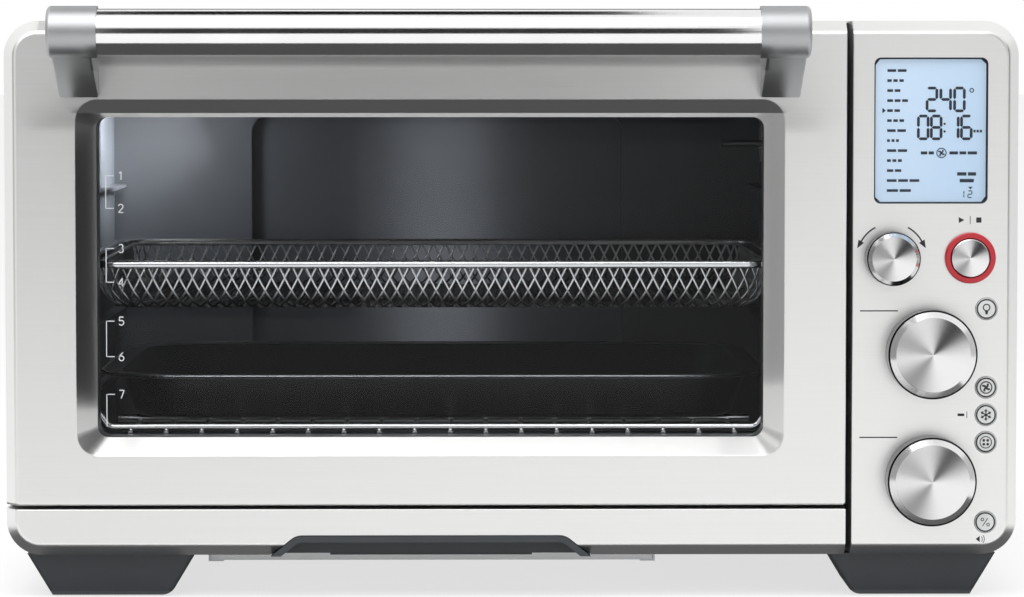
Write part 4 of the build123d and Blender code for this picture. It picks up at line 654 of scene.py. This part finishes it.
class OVEN_OT_basket(bpy.types.Operator):
    """Fine diamond mesh of the basket: walls that curve into the floor, and the floor"""

    bl_idname = "oven.basket"
    bl_label = "Weave the basket"

    def execute(self, context):
        spec = context.scene.oven.basket
        low, high = (np.array(c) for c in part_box("basket_mesh"))
        centre = (low + high) / 2
        half_x, half_y = (high - low)[:2] / 2 - spec.inset
        top, floor = high[2] - spec.thick, low[2] + spec.thick
        soft = spec.soft
        wall = top - floor - soft
        run = wall + soft * math.pi / 2
        length = 2 * (half_x + half_y) * 2 - (8 - 2 * math.pi) * spec.corner
        count = int(length / spec.across)
        steps = 15
        down = np.linspace(0, run, steps)
        bend = np.clip((down - wall) / soft, 0, math.pi / 2)
        inward = soft * (1 - np.cos(bend))
        level = top - np.minimum(down, wall) - soft * np.sin(bend)
        parts = []
        for lean in (1, -1):
            span = np.arange(count)[:, None] / count + lean * down / spec.tall * spec.across / length
            edge, out = rounded_edge(span, half_x, half_y, spec.corner)
            flat = edge - out * inward[:, None]
            lines = np.concatenate([flat + centre[:2], np.broadcast_to(level[:, None], span.shape + (1,))], -1)
            fall = np.broadcast_to(-np.sin(bend)[:, None], span.shape + (1,))
            normals = np.concatenate([out * np.cos(bend)[:, None], fall], -1)
            parts.append(tube_of(lines, normals, spec.strand, spec.thick * (1.0 if lean > 0 else 0.94)))
            parts.append(self.floor(lean, half_x - soft, half_y - soft, centre, floor, spec))
        rim = rounded_edge(np.arange(240) / 240, half_x, half_y, spec.corner)[0] + centre[:2]
        ring = np.stack([np.column_stack([rim, np.full(240, z)]) for z in (top + 0.0005, top - 0.0011)], 1)
        side = np.stack([ring[:, 0], ring[:, 1], ring[:, 1], ring[:, 0]], 1)
        side[:, 2:, :2] = (rim + (centre[:2] - rim) * 0.006)[:, None]
        parts.append(grid_mesh(side, closed=True))
        # the strands are painted darker towards the floor, a painted shade
        material = plain_metal("mesh_wire", colour(context.scene.oven.finish.bright), 0.28, 1500.0, 0.03,
                               (floor + 0.001, floor + 0.011))
        mesh = piece("basket_diamonds", join(parts), "basket", material, smooth=True)
        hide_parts("basket_mesh")
        return {"FINISHED"}

    def floor(self, lean, half_x, half_y, centre, level, spec):
        """Straight strands of one lean across the floor, each cut where it leaves the floor's edge."""
        rise = spec.tall / spec.across
        reach = half_x + half_y / rise
        first = np.arange(-reach, reach, spec.across)
        low = np.maximum(-half_y, lean * rise * (np.where(lean > 0, -half_x, half_x) - first))
        high = np.minimum(half_y, lean * rise * (np.where(lean > 0, half_x, -half_x) - first))
        keep = high - low > 0.002
        ends = np.stack([low[keep], high[keep]], 1)
        x = first[keep][:, None] + lean * ends / rise
        lines = np.stack([x + centre[0], ends + centre[1], np.full(x.shape, level)], -1)
        normals = np.broadcast_to(np.array([0.0, 0.0, 1.0]), lines.shape)
        return tube_of(lines, normals, spec.strand, spec.thick * (1.0 if lean > 0 else 0.94))


class OVEN_OT_pan(bpy.types.Operator):
    """Rolled bright bead along the roasting pan's rim"""

    bl_idname = "oven.pan"
    bl_label = "Roll the pan's rim"

    def execute(self, context):
        spec = context.scene.oven.pan
        low, high = (np.array(c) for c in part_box("roasting_pan"))
        centre, half = (low + high) / 2, (high - low) / 2 - spec.bead
        edge, out = rounded_edge(np.arange(260) / 260, half[0], half[1], spec.corner - spec.bead)
        angle = -np.linspace(0, 2 * math.pi, 10, endpoint=False)[None, :, None]
        flat = (edge + centre[:2])[:, None] + spec.bead * np.cos(angle) * out[:, None]
        level = np.broadcast_to(high[2] - 0.4 * spec.bead + spec.bead * np.sin(angle), flat.shape[:2] + (1,))
        material = plain_metal("rim_steel", colour(spec.colour), 0.2, 1500.0, 0.02)
        mesh = grid_mesh(np.concatenate([flat, level], -1), closed=True)
        piece("pan_bead", mesh, "pan", material, smooth=True)
        return {"FINISHED"}


SEGMENTS = {"0": "abcdef", "1": "bc", "2": "abged", "3": "abgcd", "4": "fgbc", "5": "afgcd", "6": "afgedc",
            "7": "abc", "8": "abcdefg", "9": "abcdfg"}


def digit(sign, x, z, width, height, pen, face, deep):
    """One seven-segment digit with its lower left at (x, z); each lit segment is a bar with pointed ends."""
    half = height / 2
    ends = {"a": ((0, height), (width, height)), "b": ((width, height), (width, half)),
            "c": ((width, half), (width, 0)), "d": ((0, 0), (width, 0)), "e": ((0, half), (0, 0)),
            "f": ((0, height), (0, half)), "g": ((0, half), (width, half))}
    return [bar(np.array(ends[s]) + (x, z), pen, face, deep) for s in SEGMENTS[sign]]


def bar(ends, pen, face, deep):
    """A segment between two points, pen wide, with pointed ends that stop short of them."""
    start, end = np.asarray(ends, float)
    along = (end - start) / np.linalg.norm(end - start)
    side = np.array([-along[1], along[0]]) * pen / 2
    gap, tip = along * pen * 0.12, along * pen / 2
    outline = [start + gap, start + gap + tip - side, end - gap - tip - side, end - gap, end - gap - tip + side,
               start + gap + tip + side]
    return plate(outline, face, deep)


def block(x, z, width, height, face, deep):
    """A plain rectangle with its lower left at (x, z)."""
    return plate([(x, z), (x + width, z), (x + width, z + height), (x, z + height)], face, deep)


def disc(x, z, radius, face, deep, count=24):
    """A small round dot."""
    return plate(circle(x, z, radius, count), face, deep)


class OVEN_OT_display(bpy.types.Operator):
    """Lit display with two plain numbers, a list of bars and a pointer"""

    bl_idname = "oven.display"
    bl_label = "Fill the display"

    def execute(self, context):
        spec = context.scene.oven.display
        low, high = (np.array(c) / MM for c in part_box("display_lens"))
        middle_x, middle_z = (low[0] + high[0]) / 2, (low[2] + high[2]) / 2
        half_w, half_h = (high[0] - low[0]) / 2 - LENS_LIP, (high[2] - low[2]) / 2 - LENS_LIP
        face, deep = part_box("lcd_module")[0][1] / MM, SEGMENT_DEEP
        left, top = middle_x - half_w, middle_z + half_h
        panel = lit_panel("lit_panel", colour(spec.low), colour(spec.high), (middle_x * MM, 0, middle_z * MM),
                          (2 * half_w * MM, 2 * half_h * MM), spec.power)
        dress(moulded("display_frame", colour(spec.frame), 0.5, 2200.0, 0.05), "lcd_module")
        edge = rounded_edge(np.arange(64) / 64, half_w - SCREEN_GAP, half_h - SCREEN_GAP, 2.8)[0]
        screen = plate(edge + (middle_x, middle_z), face, SCREEN_DEEP)
        piece("display_screen", screen, "chassis", panel)
        face -= SCREEN_DEEP
        pitch = (2 * half_h - 14) / (spec.rows - 1)
        order = np.arange(spec.rows)
        lengths = 9.6 + 2.4 * np.sin(order * 2.4 + 0.7) + 6.5 * (order >= spec.rows - 2)
        parts = []
        for row, length in enumerate(lengths):
            z = top - 7 - row * pitch
            cuts = np.linspace(0, length, 3 + row % 2)
            parts += [block(left + 7.2 + a, z - 0.7, b - a - 0.9, 1.4, face, deep)
                      for a, b in zip(cuts[:-1], cuts[1:])]
        z = top - 7 - spec.chosen * pitch
        parts.append(plate([(left + 4.6, z - 1.5), (left + 6.4, z), (left + 4.6, z + 1.5)], face, deep))
        x = left + 28.6
        for place, sign in enumerate(spec.upper):
            parts += digit(sign, x + place * 7.4, top - 28.6, *DIGIT, face, deep)
        x = left + 24.0
        for place, sign in enumerate(spec.lower):
            parts += digit(sign, x + place * 7.0 + (2.2 if place > 1 else 0), top - 43.6, *DIGIT, face, deep)
        parts += [disc(x + 14.1, top - 43.6 + h, 0.62, face, deep) for h in (3.9, 8.0)]
        parts.append(stroke(circle(left + 52.6, top - 17.6, 1.0), 0.5, face, deep, True))
        parts += [block(left + 53.6 + 1.7 * i, top - 40.2, 1.2, 1.4, face, deep) for i in range(3)]
        parts += fan_mark(left + 36.5, top - 51.2, 2.5, face, deep)
        for a, b in ((25.4, 3.4), (29.6, 2.8), (40.8, 4.6), (46.2, 3.6), (50.6, 5.0)):
            parts.append(block(left + a, top - 52.0, b, 1.6, face, deep))
        for a, h, b in ((45.0, 63.4, 5.0), (50.8, 63.4, 4.4), (46.4, 67.0, 7.6)):
            parts.append(block(left + a, top - h, b, 1.8, face, deep))
        wedge = [(left + 53.4, top - 69.4), (left + 52.2, top - 70.8), (left + 51.0, top - 69.4)]
        parts.append(plate(wedge, face, deep))
        for sign, x in (("1", left + 46.6), ("2", left + 50.9)):
            parts += digit(sign, x, top - 75.2, *SMALL_DIGIT, face, deep)
        ink = moulded("display_segments", colour(spec.segments), 0.5, 3000.0, 0.02)
        piece("display_marks", join(parts), "chassis", ink)
        return {"FINISHED"}


def fan_mark(x, z, radius, face, deep):
    """A ring with four curved blades and a hub."""
    parts = [stroke(circle(x, z, radius), radius * 0.2, face, deep, True), disc(x, z, radius * 0.2, face, deep, 16)]
    for turn in range(4):
        base = turn * math.pi / 2 + 0.4
        reach = np.linspace(0.15, 0.72, 8)
        angle = base + reach * 1.1
        path = np.stack([x + radius * reach * np.cos(angle), z + radius * reach * np.sin(angle)], 1)
        parts.append(stroke(path, radius * 0.34, face, deep))
    return parts


def lamp_mark(x, z, size, face, deep):
    """A lamp: a ring on a base that draws in."""
    base = np.array([(-0.3, -0.3), (-0.16, -0.95), (0.16, -0.95), (0.3, -0.3)]) * size + (x, z)
    return [stroke(circle(x, z + 0.24 * size, 0.56 * size), 0.2 * size, face, deep, True), plate(base, face, deep)]


def flake_mark(x, z, size, face, deep):
    """A frost star: three crossing lines, each with a pair of short barbs at both ends."""
    parts = []
    for turn in range(6):
        angle = math.radians(60 * turn + 30)
        way = np.array([math.cos(angle), math.sin(angle)])
        tip = np.array([x, z]) + way * size
        parts.append(stroke(line((x, z), tip), 0.19 * size, face, deep))
        for bend in (-0.8, 0.8):
            barb = np.array([math.cos(angle + bend), math.sin(angle + bend)]) * 0.34 * size
            root = np.array([x, z]) + way * 0.55 * size
            parts.append(stroke(line(root, root + barb), 0.17 * size, face, deep))
    return parts


def turn_mark(x, z, size, face, deep):
    """Four round slots about a hub, in a ring."""
    parts = [stroke(circle(x, z, size), 0.16 * size, face, deep, True)]
    for turn in range(4):
        angle = math.radians(90 * turn + 45)
        away = 0.48 * size * np.array([math.cos(angle), math.sin(angle)])
        parts.append(disc(x + away[0], z + away[1], 0.24 * size, face, deep, 18))
    return parts


def swap_mark(x, z, size, face, deep):
    """Two small degree rings apart, with a slanting bar between them."""
    slant = line((x - 0.45 * size, z - 0.7 * size), (x + 0.45 * size, z + 0.7 * size))
    rings = [circle(x + way * 0.5 * size, z - way * 0.45 * size, 0.24 * size, 20) for way in (-1, 1)]
    return [stroke(ring, 0.13 * size, face, deep, True) for ring in rings] + [stroke(slant, 0.13 * size, face, deep)]


def arrow(path, pen, head, face, deep):
    """A line with a solid head at its far end."""
    path = np.asarray(path, float)
    way = path[-1] - path[-2]
    way /= np.linalg.norm(way)
    side = np.array([-way[1], way[0]])
    tip = [path[-1] + way * head * 1.5, path[-1] + side * head * 0.6, path[-1] - side * head * 0.6]
    return [stroke(path, pen, face, deep), plate(tip, face, deep)]


class OVEN_OT_prints(bpy.types.Operator):
    """Dark printed marks on the fascia and on the buttons"""

    bl_idname = "oven.prints"
    bl_label = "Print the marks"

    def execute(self, context):
        ink = moulded("dark_print", colour(context.scene.oven.finish.print), 0.5, 2600.0, 0.05)
        (left, face, _), deep = np.array(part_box("control_fascia")[0]) / MM, PRINT_DEEP
        x, z = spot("select_knob")
        parts = [part for start, end in ((118, 151), (62, 29))
                 for part in arrow(arc(x, z, 18.6, start, end, 14), 0.8, 2.9, face, deep)]
        x, z = np.add(spot("start_button"), (0, 20.4))
        parts.append(plate([(x - 6.2, z - 1.6), (x - 3.2, z), (x - 6.2, z + 1.6)], face, deep))
        parts.append(block(x - 0.2, z - 2.2, 0.35, 4.4, face, deep))
        parts.append(block(x + 3.2, z - 1.4, 2.8, 2.8, face, deep))
        for node in ("temperature_knob", "time_knob"):
            parts.append(block(left + 4.2, spot(node)[1] + 22.4, 20.4, 0.65, face, deep))
        x, z = spot("frozen_button")
        parts.append(block(x - 10.4, z - 1.8, 0.35, 3.6, face, deep))
        parts.append(block(x - 15.2, z - 0.7, 3.6, 1.4, face, deep))
        x, z = np.add(spot("unit_button"), (-3.4, -9.3))
        parts.append(plate([(x - 1.6, z), (x + 0.6, z - 1.7), (x + 0.6, z + 1.7)], face, deep))
        parts += [stroke(arc(x, z, radius, -42, 42, 8), 0.36, face, deep) for radius in (2.0, 3.1)]
        piece("fascia_marks", join(parts), "chassis", ink)
        for key, mark in zip(KEYS, (lamp_mark, fan_mark, flake_mark, turn_mark, swap_mark)):
            x, z = spot(key + "_button")
            face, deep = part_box(key + "_button")[0][1] / MM, KEY_PRINT_DEEP
            parts = mark(x, z, 3.1, face, deep) + [stroke(circle(x, z, 5.0), 0.8, face, deep, True)]
            piece(key + "_mark", join(parts), key + "_key", ink)
        return {"FINISHED"}


NUMERALS = {
    "1": [line((-0.18, 0.3), (0.06, 0.5), (0.06, -0.5))],
    "2": [np.concatenate([arc(0, 0.22, 0.28, 165, -35, 14), line((-0.28, -0.5), (0.32, -0.5))])],
    "3": [np.concatenate([arc(0, 0.25, 0.25, 150, -80, 12), arc(0, -0.22, 0.28, 80, -150, 14)])],
    "4": [line((0.14, -0.5), (0.14, 0.5), (-0.3, -0.2), (0.34, -0.2))],
    "5": [np.concatenate([line((0.26, 0.5), (-0.2, 0.5), (-0.24, 0.04)), arc(0, -0.2, 0.3, 125, -150, 14)])],
    "6": [np.concatenate([line((0.18, 0.5), (-0.2, 0.12)), arc(0, -0.21, 0.29, 165, 525, 22)])],
    "7": [line((-0.28, 0.5), (0.3, 0.5), (-0.06, -0.5))],
}


def numeral(sign, x, z, height, face, deep):
    """A plain printed number centred on (x, z): its pen lines, given for a height of one, made that high."""
    return [stroke(path * height + (x, z), 0.13 * height, face, deep) for path in NUMERALS[sign]]


class OVEN_OT_shelves(bpy.types.Operator):
    """Pale shelf brackets and numbers on the door glass"""

    bl_idname = "oven.shelves"
    bl_label = "Print the shelf marks"

    def execute(self, context):
        ink = moulded("pale_print", colour(context.scene.oven.finish.white_print), 0.45, 2600.0, 0.05)
        (left, face, foot), deep = np.array(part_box("door_glass")[0]) / MM, PRINT_DEEP
        edge, reach = left + 12.0, left + 16.3
        parts = []
        for first, upper, lower in ((1, 148.2, 130.6), (3, 109.0, 90.8), (5, 69.8, 50.6), (7, 30.2, 12.8)):
            upper, lower = foot + upper, foot + lower
            path = [(reach, upper), (edge, upper), (edge, lower), (reach, lower)]
            if first == 7:
                path = path[2::-1]
            else:
                parts += numeral(str(first + 1), edge + 8.0, lower, 4.4, face, deep)
            parts += [stroke(line(*path), 0.5, face, deep)] + numeral(str(first), edge + 8.0, upper, 4.4, face, deep)
        piece("shelf_marks", join(parts), "door", ink)
        return {"FINISHED"}


class OVEN_OT_studio(bpy.types.Operator):
    """Pale floor, grey cards, soft lamps, camera and world"""

    bl_idname = "oven.studio"
    bl_label = "Set the studio"

    def execute(self, context):
        spec = context.scene.oven.studio
        scene = context.scene
        scene.view_settings.view_transform = "Standard"
        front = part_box("door_skin")[0][1]
        self.sheet("studio_floor", [(-40, -40, 0), (40, -40, 0), (40, 40, 0), (-40, 40, 0)], self.pale_floor(spec))
        for card in CARDS:
            self.flag(*card)
        for name, setting, place, target, size, spread, mirrored in LAMPS:
            self.lamp(name, place, target, size, getattr(spec, setting), spread, mirrored)
        self.world(scene, spec.world)
        eye = np.array([spec.eye[0], front - spec.distance, spec.eye[1]])
        target = np.array([spec.aim[0], front, spec.aim[1]])
        lens = bpy.data.cameras.new("photo_camera")
        lens.sensor_width = 36.0
        lens.lens = 36.0 * float(np.linalg.norm(target - eye)) / spec.view
        camera = bpy.data.objects.new("photo_camera", lens)
        scene.collection.objects.link(camera)
        self.point(camera, eye, target)
        scene.camera = camera
        return {"FINISHED"}

    def pale_floor(self, spec):
        """A matt floor; to a camera, mirror or glass ray it is part matt, with its shadows, and part plain white."""
        floor = Finish("pale_floor")
        pale = colour(spec.floor)
        shade = floor.blend(floor.noise(3.0, 2.0), pale, share(pale, 1.03))
        matt = floor.node("ShaderNodeBsdfDiffuse", None, {"Color": shade})
        white = floor.node("ShaderNodeEmission", None, {"Strength": spec.white})
        return floor.end(floor.node("ShaderNodeMixShader", None, {0: spec.lift * floor.seen(), 1: matt, 2: white}))

    def flag(self, name, corner, across, up, level, one_way):
        """A dim card that only mirror rays meet: from a corner, across and up; clear from its back if one way."""
        card = Finish(name)
        low, high = (level * 0.9,) * 3, (level * 1.1,) * 3
        glow = card.node("ShaderNodeEmission", None, {"Color": card.blend(card.noise(2.0), low, high)})
        if one_way:
            back = card.node("ShaderNodeNewGeometry", output="Backfacing")
            glow = card.node("ShaderNodeMixShader", None, {0: back, 1: glow, 2: card.node("ShaderNodeBsdfTransparent")})
        material = card.end(glow)
        material.cycles.emission_sampling = "NONE"
        corner, across, up = (np.array(v) for v in (corner, across, up))
        corners = np.array([corner, corner + across, corner + across + up, corner + up])
        work = self.sheet(name, corners.tolist(), material)
        work.visible_camera = work.visible_diffuse = work.visible_shadow = work.visible_transmission = False

    def sheet(self, name, corners, material):
        """A flat stage sheet."""
        data = bpy.data.meshes.new(name)
        data.from_pydata(corners, [], [list(range(len(corners)))])
        data.materials.append(material)
        work = bpy.data.objects.new(name, data)
        bpy.context.scene.collection.objects.link(work)
        return work

    def lamp(self, name, place, target, size, watts, spread, mirrored):
        """A soft lamp, wide by tall, that faces a point; one that isn't mirrored lights only what is matt."""
        data = bpy.data.lights.new(name, "AREA")
        data.shape, data.energy, data.spread = "RECTANGLE", watts, math.radians(spread)
        data.size, data.size_y = size
        work = bpy.data.objects.new(name, data)
        bpy.context.scene.collection.objects.link(work)
        self.point(work, np.array(place), np.array(target))
        work.visible_camera = False
        work.visible_glossy = mirrored

    def point(self, work, place, target):
        """Stands an object at a place and turns its -z axis to a target."""
        work.location = place
        work.rotation_euler = Vector(target - place).to_track_quat("-Z", "Y").to_euler()

    def world(self, scene, strength):
        """Even light all round; a camera, mirror or glass ray sees plain white."""
        sky = Finish("studio_world", bpy.data.worlds)
        power = strength + (1.0 - strength) * sky.seen()
        glow = sky.node("ShaderNodeBackground", None, {"Color": (1.0, 1.0, 1.0), "Strength": power})
        scene.world = sky.end(glow, "ShaderNodeOutputWorld")
        scene.world.cycles.sampling_method = "NONE"


class OVEN_PT_looks(bpy.types.Panel):
    """Lists the oven's steps and settings"""

    bl_idname = "OVEN_PT_looks"
    bl_label = "Oven looks"
    bl_space_type = "VIEW_3D"
    bl_region_type = "UI"
    bl_category = "Oven"

    def draw(self, context):
        for step in STEPS:
            self.layout.operator(step.bl_idname)
        for group in ("finish", "display", "basket", "pan", "studio"):
            box = self.layout.box()
            holder = getattr(context.scene.oven, group)
            for name in holder.__annotations__:
                box.prop(holder, name)


STEPS = (OVEN_OT_casing, OVEN_OT_door, OVEN_OT_controls, OVEN_OT_oven, OVEN_OT_basket, OVEN_OT_pan, OVEN_OT_display,
         OVEN_OT_prints, OVEN_OT_shelves, OVEN_OT_studio)
CLASSES = (FinishSettings, DisplaySettings, BasketSettings, PanSettings, StudioSettings, OvenSettings, *STEPS,
           OVEN_PT_looks)


def register():
    """Adds the classes and the scene's settings."""
    for item in CLASSES:
        bpy.utils.register_class(item)
    bpy.types.Scene.oven = PointerProperty(type=OvenSettings)


def unregister():
    """Removes them again."""
    del bpy.types.Scene.oven
    for item in reversed(CLASSES):
        bpy.utils.unregister_class(item)


def main():
    """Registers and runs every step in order."""
    register()
    for step in STEPS:
        group, name = step.bl_idname.split(".")
        getattr(getattr(bpy.ops, group), name)()


if __name__ == "__main__":
    main()
